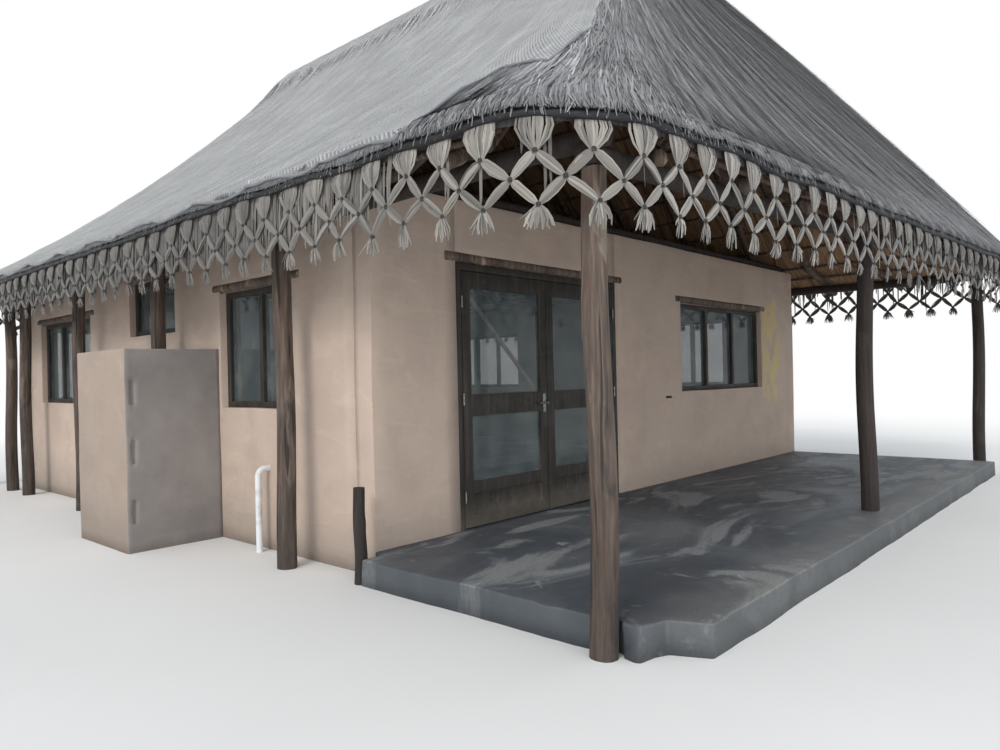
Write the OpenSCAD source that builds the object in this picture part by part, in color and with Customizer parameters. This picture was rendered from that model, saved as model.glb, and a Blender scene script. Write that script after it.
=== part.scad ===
// Thatched beach cottage: plastered block walls under a hipped, bell-shaped palm thatch
// roof on a ring of natural poles, with a front verandah and a knotted palm-leaf fringe.
// Millimetres, +Z up. The origin is on the underside of the floor, at the middle of the
// walls' plan. The front faces -Y, and sizes along a wall run from its left or front end.

/* [Walls] */
// Width of the walled body along the front
body_w = 7700; // [7400:10:8200]
// Depth of the walled body from front to back
body_d = 7600; // [7400:10:8200]
// Thickness of the plastered block walls
wall_t = 190; // [150:5:230]
// Height of the front and back walls above the ground
front_wall_h = 2740; // [2600:10:2800]
// Thickness of the floor and of the verandah slab above the ground
slab_h = 170; // [100:5:220]
// Diameter of the logs along the wall tops
plate_d = 100; // [80:5:120]

/* [Verandah] */
// Depth of the verandah slab in front of the wall
verandah_d = 2460; // [2350:10:2600]
// Reach of the slab past the left wall
verandah_side = 200; // [180:10:215]
// Width of the broken bay in the slab's edge at the corner post
broken_w = 260; // [200:10:320]

/* [Door] */
// Left edge of the doorway
door_x = 830; // [700:10:1000]
// Width of the doorway
door_w = 2220; // [2000:10:2400]
// Height of the doorway above the floor
door_h = 2080; // [2000:10:2150]
// Width of the door frame's members
door_frame_w = 55; // [45:1:70]
// Depth of the door frame
door_frame_t = 110; // [90:5:140]
// Thickness of a door leaf
leaf_t = 42; // [36:1:50]
// Width of a leaf's stiles
stile_w = 95; // [80:1:110]
// Height of a leaf's top rail
top_rail_h = 130; // [100:5:150]
// Height of the lock rail's lower edge above the floor
lock_rail_z = 880; // [800:10:950]
// Height of the lock rail
lock_rail_h = 170; // [120:5:190]
// Height of the solid kick panel above the floor
kick_h = 365; // [300:5:420]
// Gap round a moving leaf
leaf_gap = 6; // [5:0.5:8]
// Gap between the two leaves
meeting_gap = 8; // [7:0.5:10]
// Gap under the leaves
sill_gap = 10; // [6:1:15]
// Diameter of the hinge barrels
hinge_d = 14; // [12:1:18]
// Length of a hinge barrel
hinge_l = 90; // [70:5:110]

/* [Windows] */
// Left edge of the front window
front_win_x = 4380; // [4200:10:4600]
// Width of the front window
front_win_w = 2210; // [2000:10:2300]
// Height of the window sills above the floor
sill_z = 970; // [900:10:1050]
// Height of the window heads above the floor
head_z = 1970; // [1900:10:2020]
// Distance of the small side window from the front corner
small_win_y = 967; // [900:1:1100]
// Width of the small side window
small_win_w = 1130; // [1000:10:1200]
// Distance of the high bathroom window from the front corner
high_win_y = 2970; // [2900:10:3100]
// Width of the high bathroom window
high_win_w = 1040; // [900:10:1100]
// Height of the high window's sill above the floor
high_sill_z = 1680; // [1600:10:1750]
// Height of the high window's head above the floor
high_head_z = 2230; // [2150:10:2260]
// Distance of the wide side window from the back corner
wide_win_back = 800; // [700:10:900]
// Width of the wide side window
wide_win_w = 1700; // [1500:10:1800]
// Distance of the back windows from the corners
back_win_x = 350; // [300:10:600]
// Width of the back windows
back_win_w = 1300; // [1100:10:1500]
// Depth of the window frames behind the wall's face
reveal = 60; // [30:5:80]
// Width of the window frames' members
frame_w = 50; // [40:1:65]
// Depth of the window frames
frame_t = 70; // [60:1:80]
// Thickness of the glass
glass_t = 5; // [4:1:8]
// Diameter of the log lintels
lintel_d = 84; // [70:2:100]

/* [Shower screen] */
// Distance of the screen's front face from the house's front corner
screen_y = 2130; // [2110:10:2250]
// Reach of the screen from the left wall
screen_reach = 800; // [700:10:850]
// Length of the screen's outer leg
screen_len = 1040; // [900:10:1300]
// Height of the screen above the floor
screen_h = 1480; // [1300:10:1600]
// Thickness of the screen
screen_t = 120; // [100:5:140]

/* [Posts and beams] */
// Diameter of the posts
post_d = 140; // [120:2:150]
// Sideways wander of a natural pole
post_bend = 18; // [0:1:30]
// Diameter of the eave beams
beam_d = 110; // [90:2:120]
// Distance of the side rows of posts from the walls
side_row = 240; // [225:5:280]
// Distance of the corner post from the front wall
post_y_left = 2040; // [1950:10:2100]
// Distance of the middle post from the front wall
post_y_mid = 2200; // [2100:10:2260]
// Distance of the right post from the front wall
post_y_right = 2256; // [2150:2:2300]
// Distance of the middle post from the left end of the front wall
post_x_mid = 3480; // [3300:10:3800]
// Distance of the back row of posts from the back wall
back_row = 630; // [600:5:660]
// Height of the cut-off stump above the ground
stump_h = 640; // [400:10:700]
// Diameter of the stump
stump_d = 86; // [70:2:100]

/* [Roof] */
// Height of the thatch's outer edge above the ground
eave_z = 2650; // [2600:10:2700]
// Height of the ridge above the ground
ridge_z = 6500; // [6300:10:6700]
// Bend of the left slope, which sags into a bell shape
bell_left = 0.3; // [0.2:0.01:0.35]
// Bend of the right slope, which stands a little proud below 0
bell_right = -0.1; // [-0.15:0.01:0.1]
// Reach of the side eaves from the walls
eave_side = 640; // [600:10:700]
// Reach of the front eave at the left corner
eave_front_left = 2200; // [2190:5:2260]
// Reach of the front eave at the right corner
eave_front_right = 2730; // [2700:10:2760]
// Reach of the back eave
eave_back = 950; // [920:10:980]
// Length of eave that each rounded corner takes from its sides
eave_round = 700; // [600:10:750]
// Distance of the ridge's front end from the front wall
ridge_front = 450; // [350:10:500]
// Distance of the ridge's back end from the back wall
ridge_back = 1050; // [1000:10:1150]
// Thickness of the thatch at the eave, measured upright
thatch_eave_t = 120; // [100:5:140]
// Thickness of the thatch over the wall, measured upright
thatch_knee_t = 260; // [230:5:280]
// Thickness of the thatch halfway up, measured upright
thatch_mid_t = 260; // [240:5:280]
// Thickness of the thatch at the ridge, measured upright
thatch_ridge_t = 260; // [240:5:280]
// Thickness of the ridge cap over the thatch
cap_t = 90; // [60:5:120]
// Diameter of the bound roll along the thatch edge
binding_d = 56; // [40:2:70]
// Diameter of the rafter poles
rafter_d = 90; // [70:2:100]
// Diameter of the thatching battens
batten_d = 36; // [30:1:45]
// Diameter of the ridge pole
ridge_pole_d = 120; // [100:5:140]
// Distance between rafters along the eave
rafter_pitch = 900; // [800:10:1000]
// Rows of battens on each slope
batten_rows = 16; // [12:1:18]
// Thickness of the shade net over the left slope
net_t = 4; // [3:0.5:6]

/* [Fringe] */
// Drop of the knotted palm-leaf fringe below the binding
fringe_drop = 410; // [360:5:460]
// Length of one repeat of the fringe
fringe_pitch = 270; // [240:5:320]
// Thickness of the fringe
fringe_t = 16; // [10:1:24]

/* [Hidden] */

// Gap left between pieces that seat on each other
seat = 0.3;
// Overshoot of a cutting solid past the face it cuts
over = 5;

// Plan of the walls
xl = -body_w / 2;
xr = body_w / 2;
yf = -body_d / 2;
yb = body_d / 2;

// Plan of the roof: the ridge and the four corners of the eave before rounding
ridge_x = 0;
ridge_y0 = yf + ridge_front;
ridge_y1 = yb - ridge_back;
eave_fl = [xl - eave_side, yf - eave_front_left];
eave_fr = [xr + eave_side, yf - eave_front_right];
eave_br = [xr + eave_side, yb + eave_back];
eave_bl = [xl - eave_side, yb + eave_back];

// Shares of the way from the eave to the ridge where the rafters bend: over the side walls,
// and halfway up, where two poles are spliced
knee_s = (eave_side + wall_t / 2) / (eave_side - xl);
mid_s = 0.55;
// Shares at the lower edge of the ridge cap and at the top edge of the thatch under it
cap_s = 0.9;
top_s = 0.955;
// Levels of the thatch's outer surface
levels = 8;
// Points along a rounded corner's half, and along a straight eave
corner_steps = 5;
eave_steps = 6;

post_x_left = xl - side_row;
post_x_right = xr + side_row;
side_post_y = [720, 2770, 4750, 6580, 7220];
back_post_x = [-0.5, -0.17, 0.17, 0.5];

thatch_colour = [0.36, 0.34, 0.32];
plaster_colour = [0.74, 0.6, 0.47];
timber_colour = [0.17, 0.12, 0.1];
pole_colour = [0.3, 0.24, 0.2];
concrete_colour = [0.45, 0.47, 0.5];
leaf_colour = [0.62, 0.58, 0.52];
glass_colour = [0.3, 0.38, 0.36, 0.5];

function lerp(a, b, t) = a + (b - a) * t;
function clamp(v, low, high) = min(max(v, low), high);

// Surface of a solid lofted through rings of equal count, with flat end caps. From the edge
// "turned" on, its four-sided faces are split along their other diagonal.
module loft(rings, turned = 1000) {
    n = len(rings[0]);
    m = len(rings);
    points = [for (r = rings) each r];
    sides = [for (j = [0 : m - 2], i = [0 : n - 1])
        let (a = j * n + i, b = j * n + (i + 1) % n, c = a + n, d = b + n)
        each i >= turned ? [[a, c, b], [c, d, b]] : [[a, c, d], [a, d, b]]];
    bottom = [for (i = [0 : n - 1]) i];
    top = [for (i = [n - 1 : -1 : 0]) (m - 1) * n + i];
    polyhedron(points, concat([bottom], sides, [top]), convexity = 10);
}

// Heights of the thatch's outer surface and underside, by share of the way to the ridge
// and by the place k of the eave point between the left and the right side
function place(e) = clamp((e[0] - xl) / body_w, 0, 1);
function z_out(s, k) =
    let (bell = lerp(bell_left, bell_right, k))
    eave_z + (ridge_z - eave_z) * ((1 - bell) * s + bell * s * s);
zin_0 = eave_z - thatch_eave_t;
zin_k = z_out(knee_s, 0) - thatch_knee_t;
zin_1 = ridge_z - thatch_ridge_t;
function zin_m(k) = z_out(mid_s, k) - thatch_mid_t;
function z_in(s, k) =
    s < knee_s ? lerp(zin_0, zin_k, s / knee_s) :
    s < mid_s ? lerp(zin_k, zin_m(k), (s - knee_s) / (mid_s - knee_s)) :
    lerp(zin_m(k), zin_1, (s - mid_s) / (1 - mid_s));

// Point of the ridge that an eave point climbs to, and points on the way
function ridge_of(e) = [ridge_x, clamp(e[1], ridge_y0, ridge_y1)];
function on_roof(e, s, z) = let (p = lerp(e, ridge_of(e), s)) [p[0], p[1], z];

// Rounded corner of the eave: a smooth curve from side a to side b past the corner p
function unit(v) = v / norm(v);
function corner_point(a, p, b, t) =
    let (p0 = p + unit(a - p) * eave_round, p1 = p + unit(b - p) * eave_round)
    lerp(lerp(p0, p, t), lerp(p, p1, t), t);
function corner_half(a, p, b, from) =
    [for (i = [0 : corner_steps - 1]) corner_point(a, p, b, from + i / corner_steps / 2)];

// Straight run of eave between two corners, with points at the ridge's ends
function straight(a, b) =
    let (p0 = a + unit(b - a) * eave_round, p1 = b + unit(a - b) * eave_round)
    [for (i = [0 : eave_steps - 1]) lerp(p0, p1, i / eave_steps)];
function breaks(a, b) =
    let (p0 = a + unit(b - a) * eave_round, p1 = b + unit(a - b) * eave_round,
         first = b[1] > a[1] ? ridge_y0 : ridge_y1, last = b[1] > a[1] ? ridge_y1 : ridge_y0)
    concat([p0], [for (i = [0 : eave_steps - 1]) [a[0], lerp(first, last, i / (eave_steps - 1))]]);

// Eave points of one slope, from the hip at its first corner to the hip at its second
function slope_points(prev, a, b, next, run) =
    concat(corner_half(prev, a, b, 0.5), run, corner_half(a, b, next, 0),
           [corner_point(a, b, next, 0.5)]);
front_points = slope_points(eave_bl, eave_fl, eave_fr, eave_br, straight(eave_fl, eave_fr));
right_points = slope_points(eave_fl, eave_fr, eave_br, eave_bl, breaks(eave_fr, eave_br));
back_points = slope_points(eave_fr, eave_br, eave_bl, eave_fl, straight(eave_br, eave_bl));
left_points = slope_points(eave_br, eave_bl, eave_fl, eave_fr, breaks(eave_bl, eave_fl));
function open_ring(list) = [for (i = [0 : len(list) - 2]) list[i]];
eave_ring = concat(open_ring(front_points), open_ring(right_points),
                   open_ring(back_points), open_ring(left_points));

// Places its child on a wall, with X along the wall and Y inwards from its outer face
module on_front() { translate([xl, yf, 0]) children(); }
module on_back() { translate([xl, yb, 0]) mirror([0, 1, 0]) children(); }
module on_left() { translate([xl, yf, 0]) mirror([1, -1, 0]) children(); }
module on_right() { translate([xr, yf, 0]) rotate([0, 0, 90]) children(); }

// Openings of each wall: start, width, sill and head above the ground, number of lights
function window(x, w, lights, low = sill_z, high = head_z) =
    [x, w, slab_h + low, slab_h + high, lights];
front_windows = [window(front_win_x, front_win_w, 3)];
small_window = window(small_win_y, small_win_w, 2);
wide_window = window(body_d - wide_win_back - wide_win_w, wide_win_w, 3);
left_windows = [small_window, window(high_win_y, high_win_w, 2, high_sill_z, high_head_z), wide_window];
right_windows = [small_window, wide_window];
back_windows = [for (x = [back_win_x, body_w - back_win_x - back_win_w]) window(x, back_win_w, 2)];

// Log lintel over an opening, sunk in the wall's face
lintel_in = 30;
lintel_bearing = 110;
module lintel(o, extra = 0) {
    translate([o[0] - lintel_bearing - extra, lintel_in, o[3] + lintel_d / 2])
        rotate([0, 90, 0])
            cylinder(d = lintel_d + 2 * extra, h = o[1] + 2 * (lintel_bearing + extra));
}

// Slot for a lintel, open below it over the width of the opening
module lintel_slot(o) {
    lintel(o, seat);
    translate([o[0], -over, o[3] - over])
        cube([o[1], over + lintel_in + lintel_d / 2, lintel_d / 2 + over]);
}

module wall_run(from, to, h, openings = []) {
    difference() {
        translate([from, 0, 0]) cube([to - from, wall_t, h]);
        for (o = openings) {
            translate([o[0], -over, o[2]]) cube([o[1], wall_t + 2 * over, o[3] - o[2]]);
            lintel_slot(o);
        }
    }
}

// Runs of the slopes, square to their eaves, and their pitches
side_run = eave_side - xl;
front_dir = unit(eave_fr - eave_fl);
front_run = abs((ridge_x - eave_fl[0]) * front_dir[1] - (ridge_y0 - eave_fl[1]) * front_dir[0]);
back_run = eave_bl[1] - ridge_y1;
function slope_run(side) = side == "front" ? front_run : side == "back" ? back_run : side_run;
function low_pitch(side) = atan((zin_k - zin_0) / (knee_s * slope_run(side)));
function pitch(side, s, k) =
    s < knee_s ? low_pitch(side) :
    s < mid_s ? atan((zin_m(k) - zin_k) / ((mid_s - knee_s) * slope_run(side))) :
    atan((zin_1 - zin_m(k)) / ((1 - mid_s) * slope_run(side)));
// Upright room of the battens between the thatch and the rafters, and of the rafters
function batten_room(side) =
    (batten_d + 2 * seat) / cos(max([for (s = [0.3, 0.8], k = [0, 1]) pitch(side, s, k)]));
function rafter_room(side) = rafter_d / cos(low_pitch(side));
function rafter_under(side, s, k) = z_in(s, k) - batten_room(side) - rafter_room(side);

side_plate_z = rafter_under("left", knee_s, 0) - (seat + plate_d / 2) / cos(low_pitch("left"));
side_wall_h = side_plate_z - plate_d / 2 - seat;
door_opening = [door_x, door_w, 0, slab_h + door_h];

module floor_slab() {
    color(concrete_colour) {
        translate([xl + wall_t, yf + wall_t, 0])
            cube([body_w - 2 * wall_t, body_d - 2 * wall_t, slab_h]);
        translate([xl + door_x, yf, 0]) cube([door_w, wall_t + over, slab_h]);
    }
}

// The slab stops at the stump, which stands beside the wall's corner and leans on the slab's edge
stump_x = 170;
stump_y = 50;
stump_at = [xl - stump_x, yf - stump_y];
stump_phase = 6;
module verandah_slab() {
    color(concrete_colour)
        difference() {
            translate([xl - verandah_side, yf - verandah_d, 0])
                cube([body_w + verandah_side, verandah_d, slab_h]);
            translate([post_x_left, yf - post_y_left, -over])
                cylinder(d = post_d + 2 * post_bend, h = slab_h + 2 * over);
            translate([xl - verandah_side, yf - verandah_d, -over])
                cylinder(r = broken_w, h = slab_h + 2 * over, $fn = 7);
            translate([xl - verandah_side - over, yf - stump_bay, -over])
                cube([verandah_side + over, stump_bay + over, slab_h + 2 * over]);
        }
}

module front_wall_left() {
    color(plaster_colour) on_front()
        difference() {
            wall_run(0, door_x, front_wall_h);
            lintel_slot(door_opening);
        }
}
module front_wall_over_door() {
    color(plaster_colour) on_front()
        difference() {
            translate([door_x, 0, slab_h + door_h])
                cube([door_w, wall_t, front_wall_h - slab_h - door_h]);
            lintel_slot(door_opening);
        }
}
module front_wall_right() {
    color(plaster_colour) on_front()
        difference() {
            wall_run(door_x + door_w, body_w, front_wall_h, front_windows);
            lintel_slot(door_opening);
        }
}
module left_wall() {
    color(plaster_colour) on_left() wall_run(wall_t, body_d - wall_t, side_wall_h, left_windows);
}
module right_wall() {
    color(plaster_colour) on_right() wall_run(wall_t, body_d - wall_t, side_wall_h, right_windows);
}
module back_wall() {
    color(plaster_colour) on_back() wall_run(0, body_w, front_wall_h, back_windows);
}

module plate(len, z) {
    translate([0, wall_t / 2, z]) rotate([0, 90, 0]) cylinder(d = plate_d, h = len);
}
module wall_plates() {
    color(pole_colour) {
        for (k = [0, 1])
            mirror([0, k, 0]) on_front() translate([wall_t, 0, 0])
                plate(body_w - 2 * wall_t, front_wall_h + plate_d / 2 + seat);
        on_left() translate([wall_t + seat, 0, 0])
            plate(body_d - 2 * (wall_t + seat), side_plate_z);
        on_right() translate([wall_t + seat, 0, 0])
            plate(body_d - 2 * (wall_t + seat), side_plate_z);
    }
}

module shower_screen() {
    h = slab_h + screen_h;
    color(plaster_colour) on_left()
        translate([screen_y, -screen_reach, 0])
            linear_extrude(h)
                polygon([[0, 0], [screen_len, 0], [screen_len, screen_t], [screen_t, screen_t],
                         [screen_t, screen_reach], [0, screen_reach]]);
}

module lintels() {
    color(pole_colour) {
        on_front() { lintel(door_opening); for (o = front_windows) lintel(o); }
        on_left() for (o = left_windows) lintel(o);
        on_right() for (o = right_windows) lintel(o);
        on_back() for (o = back_windows) lintel(o);
    }
}

// Timber frame of a window: a rectangle with upright bars between its lights
module window_frame(o) {
    w = o[1] - 2 * seat;
    h = o[3] - o[2] - 2 * seat;
    light_w = (w - frame_w * (o[4] + 1)) / o[4];
    translate([o[0] + seat, reveal, o[2] + seat])
        difference() {
            cube([w, frame_t, h]);
            for (i = [0 : o[4] - 1])
                translate([frame_w + i * (light_w + frame_w), -over, frame_w])
                    cube([light_w, frame_t + 2 * over, h - 2 * frame_w]);
        }
}
module window_panes(o) {
    w = o[1] - 2 * seat;
    h = o[3] - o[2] - 2 * seat;
    light_w = (w - frame_w * (o[4] + 1)) / o[4];
    for (i = [0 : o[4] - 1])
        translate([o[0] + seat + frame_w + i * (light_w + frame_w) + seat,
                   reveal + frame_t / 2, o[2] + seat + frame_w + seat])
            cube([light_w - 2 * seat, glass_t, h - 2 * (frame_w + seat)]);
}
module front_window_frame() { color(timber_colour) on_front() for (o = front_windows) window_frame(o); }
module side_window_frames() {
    color(timber_colour) {
        on_left() for (o = left_windows) window_frame(o);
        on_right() for (o = right_windows) window_frame(o);
    }
}
module back_window_frames() { color(timber_colour) on_back() for (o = back_windows) window_frame(o); }
module window_glass() {
    color(glass_colour) {
        on_front() for (o = front_windows) window_panes(o);
        on_left() for (o = left_windows) window_panes(o);
        on_right() for (o = right_windows) window_panes(o);
        on_back() for (o = back_windows) window_panes(o);
    }
}

// Double door, in the front wall's own directions
leaf_w = (door_w - 2 * seat - 2 * door_frame_w - 2 * leaf_gap - meeting_gap) / 2;
leaf_x0 = door_x + seat + door_frame_w + leaf_gap;
leaf_x1 = leaf_x0 + leaf_w + meeting_gap;
leaf_z = slab_h + sill_gap;
leaf_h = door_h - seat - door_frame_w - leaf_gap - sill_gap;
hinge_z = [0.12, 0.5, 0.88];

module door_frame() {
    h = door_h - seat;
    color(timber_colour) on_front()
        translate([door_x + seat, 0, slab_h])
            difference() {
                cube([door_w - 2 * seat, door_frame_t, h]);
                translate([door_frame_w, -over, -over])
                    cube([door_w - 2 * seat - 2 * door_frame_w, door_frame_t + 2 * over,
                          h - door_frame_w + over]);
            }
}
module leaf() {
    difference() {
        cube([leaf_w, leaf_t, leaf_h]);
        for (o = leaf_lights)
            translate([stile_w, -over, o[0]]) cube([leaf_w - 2 * stile_w, leaf_t + 2 * over, o[1] - o[0]]);
        translate([stile_w, -over, stile_w])
            cube([leaf_w - 2 * stile_w, over + panel_in, kick_h - sill_gap - 2 * stile_w]);
    }
}
panel_in = 12;
leaf_lights = [[kick_h - sill_gap, lock_rail_z - sill_gap],
               [lock_rail_z + lock_rail_h - sill_gap, leaf_h - top_rail_h]];
module leaf_panes() {
    for (o = leaf_lights)
        translate([stile_w + seat, (leaf_t - glass_t) / 2, o[0] + seat])
            cube([leaf_w - 2 * (stile_w + seat), glass_t, o[1] - o[0] - 2 * seat]);
}
module left_door_leaf() { color(timber_colour) on_front() translate([leaf_x0, 0, leaf_z]) leaf(); }
module left_door_glass() { color(glass_colour) on_front() translate([leaf_x0, 0, leaf_z]) leaf_panes(); }
module right_door_leaf() { color(timber_colour) on_front() translate([leaf_x1, 0, leaf_z]) leaf(); }
module right_door_glass() { color(glass_colour) on_front() translate([leaf_x1, 0, leaf_z]) leaf_panes(); }

hinge_x0 = leaf_x0 - leaf_gap / 2;
hinge_x1 = leaf_x1 + leaf_w + leaf_gap / 2;
hinge_y = -hinge_d / 2 - seat;
module door_hinges() {
    color("gray") on_front()
        for (x = [hinge_x0, hinge_x1], k = hinge_z)
            translate([x, hinge_y, leaf_z + leaf_h * k - hinge_l / 2])
                cylinder(d = hinge_d, h = hinge_l);
}

// Lever handle on the left leaf's meeting stile
handle_up = 950;
handle_z = slab_h + handle_up;
handle_out = 45;
handle_d = 18;
handle_l = 110;
module door_handle() {
    x = leaf_x0 + leaf_w - stile_w / 2;
    color("silver") on_front() {
        translate([x - 18, -6, handle_z - 80]) cube([36, 6, 160]);
        translate([x, -6, handle_z]) rotate([90, 0, 0]) cylinder(d = handle_d, h = handle_out);
        translate([x, -handle_out, handle_z]) rotate([0, -90, 0]) cylinder(d = handle_d, h = handle_l);
    }
}

// Pale stick nailed across the inside of the left leaf
brace_w = 34;
brace_t = 16;
module door_brace() {
    x0 = leaf_x0 + stile_w - 40;
    x1 = leaf_x0 + leaf_w - stile_w + 40;
    z0 = leaf_z + leaf_lights[1][1] + 10;
    z1 = slab_h + lock_rail_z + lock_rail_h - 30;
    color("wheat") on_front()
        translate([x0, leaf_t + seat, z0])
            rotate([0, atan2(z0 - z1, x1 - x0), 0])
                translate([0, 0, -brace_w / 2])
                    cube([norm([x1 - x0, z1 - z0]), brace_t, brace_w]);
}

// Natural pole: a round section that wanders from side to side as it rises
pole_sides = 10;
pole_rings = 7;
function pole_ring(p, d, z, k, phase) =
    [for (a = [0 : pole_sides - 1])
        let (t = 360 * a / pole_sides, r = d / 2 * (1 - 0.12 * k) * (1 + 0.03 * sin(3 * t + 90 * phase)),
             c = p + post_bend * sin(180 * k) * [sin(250 * k + 77 * phase), cos(200 * k + 131 * phase)])
        [c[0] + r * cos(t), c[1] + r * sin(t), z]];
module pole(p, z0, z1, d, phase) {
    loft([for (j = [0 : pole_rings - 1])
        let (k = j / (pole_rings - 1)) pole_ring(p, d, lerp(z0, z1, k), k, phase)]);
}

// Space left in the slab for the stump: its reach at the slab's top edge
stump_ring = slab_h / stump_h * (pole_rings - 1);
function stump_edge(j) =
    [for (p = pole_ring(stump_at, stump_d, 0, j / (pole_rings - 1), stump_phase)) p[1]];
stump_bay = let (low = stump_edge(floor(stump_ring)), high = stump_edge(floor(stump_ring) + 1))
    yf + seat - min([for (i = [0 : pole_sides - 1]) lerp(low[i], high[i], stump_ring % 1)]);

// Height of an eave beam's centre under the rafters, by the roof share where it runs
function share(side, p) =
    side == "left" ? (p[0] - eave_fl[0]) / side_run :
    side == "right" ? (eave_fr[0] - p[0]) / side_run :
    side == "back" ? (eave_bl[1] - p[1]) / back_run :
    abs((p[0] - eave_fl[0]) * front_dir[1] - (p[1] - eave_fl[1]) * front_dir[0]) / front_run;
function beam_z(side, p) =
    rafter_under(side, share(side, p), 0) - (seat + beam_d / 2) / cos(low_pitch(side));

p_left = [post_x_left, yf - post_y_left];
p_mid = [xl + post_x_mid, yf - post_y_mid];
p_right = [post_x_right, yf - post_y_right];
side_beam_z = beam_z("left", p_left);
back_y = yb + back_row;
back_beam_z = beam_z("back", [0, back_y]);

module log_between(a, b, d) {
    v = b - a;
    translate(a) rotate([0, acos(v[2] / norm(v)), atan2(v[1], v[0])]) cylinder(d = d, h = norm(v));
}
// Past the corners a beam runs on by this much, and by less where the thatch's corner comes low
beam_end = 80;
low_beam_end = 25;
front_beam_0 = [post_x_left, p_left[1], beam_z("front", p_left)];
front_beam_1 = [post_x_right, p_right[1], beam_z("front", p_right)];
function front_beam_point(x) =
    lerp(front_beam_0, front_beam_1, (x - post_x_left) / (post_x_right - post_x_left));
module side_beam(x, y, d) {
    log_between([x, y - beam_end, side_beam_z], [x, back_y + beam_end, side_beam_z], d);
}
// The front and back beams are notched over the side beams
module eave_beams() {
    color(pole_colour) {
        side_beam(post_x_left, p_left[1], beam_d);
        side_beam(post_x_right, p_right[1], beam_d);
        difference() {
            union() {
                log_between([post_x_left - beam_end, back_y, back_beam_z],
                            [post_x_right + beam_end, back_y, back_beam_z], beam_d);
                log_between(front_beam_point(post_x_left - beam_end),
                            front_beam_point(post_x_right + low_beam_end), beam_d);
            }
            side_beam(post_x_left, p_left[1] - beam_end, beam_d + 2 * seat);
            side_beam(post_x_right, p_right[1] - beam_end, beam_d + 2 * seat);
        }
    }
}

// Top of a post under a beam, a little lower where the beam slopes
function post_top(z, tilt = 0) = z - beam_d / 2 / cos(tilt) - tan(tilt) * post_d / 2 - seat;
front_beam_tilt = let (v = front_beam_1 - front_beam_0) asin(v[2] / norm(v));

module front_posts() {
    color(pole_colour) {
        pole(p_left, 0, post_top(front_beam_0[2], front_beam_tilt), post_d, 1);
        pole(p_mid, slab_h, post_top(front_beam_point(p_mid[0])[2], front_beam_tilt), post_d, 2);
        pole(p_right, 0, post_top(side_beam_z), post_d, 3);
    }
}
module side_posts() {
    color(pole_colour)
        for (i = [0 : len(side_post_y) - 1]) {
            pole([post_x_left, yf + side_post_y[i]], 0, post_top(side_beam_z), post_d, 4 + i);
            pole([post_x_right, yf + side_post_y[i]], 0, post_top(side_beam_z), post_d, 9 + i);
        }
}
module back_posts() {
    color(pole_colour)
        for (k = back_post_x)
            pole([k * (post_x_right - post_x_left), back_y], 0,
                 post_top(abs(k) == 0.5 ? min(back_beam_z, side_beam_z) : back_beam_z), post_d, 20 + 4 * k);
}
module stump() {
    color(pole_colour) pole(stump_at, 0, stump_h, stump_d, stump_phase);
}

// Height of the thatch's underside over a point of the plan, on the slope up to the ridge point r
function under(side, r, p) =
    let (s = share(side, p), e = (p - s * r) / (1 - s)) z_in(s, place(e));
// Steepest rise of the underside across a rafter, close to the share s
bend_near = 0.015;
function cross_rise(side, e, s) =
    let (r = ridge_of(e), dir = unit(r - e), w = rafter_d / 2 * [dir[1], -dir[0]])
    max([for (t = [max(s - bend_near, 0), s + bend_near])
        let (p = lerp(e, r, t)) abs(under(side, r, p + w) - under(side, r, p - w)) / rafter_d]);
// Bent pole up a slope from the eave point e, between two shares of the way to the ridge.
// Where it climbs askew it is slimmer, so that it keeps between the battens and the beams.
rafter_sides = 8;
ring_angles = [for (i = [0 : rafter_sides - 1]) 360 * (i + 0.5) / rafter_sides];
ring_r = 1 / cos(180 / rafter_sides);
function slimness(half, rise) =
    half / (ring_r * max([for (a = ring_angles) half * sin(a) + rise * rafter_d / 2 * cos(a)]));
// Allowances on the rise, a share of it and a fixed part, so that the poles' edges clear the
// battens and the beams
askew_more = 0.12;
rise_more = 0.01;
module rafter(side, e, from, to) {
    k = place(e);
    dir = unit(ridge_of(e) - e);
    half = rafter_room(side) / 2;
    loft([for (s = [from, knee_s, mid_s, to]) if ((s == from) || (s > from && s <= to))
        let (q = ring_r * slimness(half, cross_rise(side, e, s) * (1 + askew_more) + rise_more),
             c = on_roof(e, s, z_in(s, k) - batten_room(side) - half),
             w = q * rafter_d / 2 * [dir[1], -dir[0]])
        [for (a = ring_angles) c + [w[0] * cos(a), w[1] * cos(a), q * half * sin(a)]]]);
}
// Rafters of a side slope: square to the ridge along it, and fanned to its ends beyond it
rafter_tail = 0.02;
rafter_tip = 0.9925;
function fan_tip(i) = i % 2 == 1 ? 0.6 : 0.8;
front_fans = 2;
back_fans = 1;
module rafter_row(side, x) {
    n = round((ridge_y1 - ridge_y0) / rafter_pitch);
    for (i = [0 : n]) rafter(side, [x, lerp(ridge_y0, ridge_y1, i / n)], rafter_tail, rafter_tip);
    for (i = [1 : front_fans]) rafter(side, [x, ridge_y0 - i * rafter_pitch], rafter_tail, fan_tip(i));
    for (i = [1 : back_fans]) rafter(side, [x, ridge_y1 + i * rafter_pitch], rafter_tail, fan_tip(i));
}
module side_rafters() {
    color(pole_colour) {
        rafter_row("left", eave_fl[0]);
        rafter_row("right", eave_fr[0]);
    }
}
// Rafters of an end slope, fanned to the end of the ridge
fan_count = 8;
function end_tip(i) = i % 2 == 1 ? 0.6 : i == fan_count / 2 ? 0.95 : 0.88;
module fan_rafters(side, a, b) {
    p0 = a + unit(b - a) * eave_round;
    p1 = b + unit(a - b) * eave_round;
    for (i = [0 : fan_count])
        rafter(side, lerp(p0, p1, i / fan_count), rafter_tail, end_tip(i));
}
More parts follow.
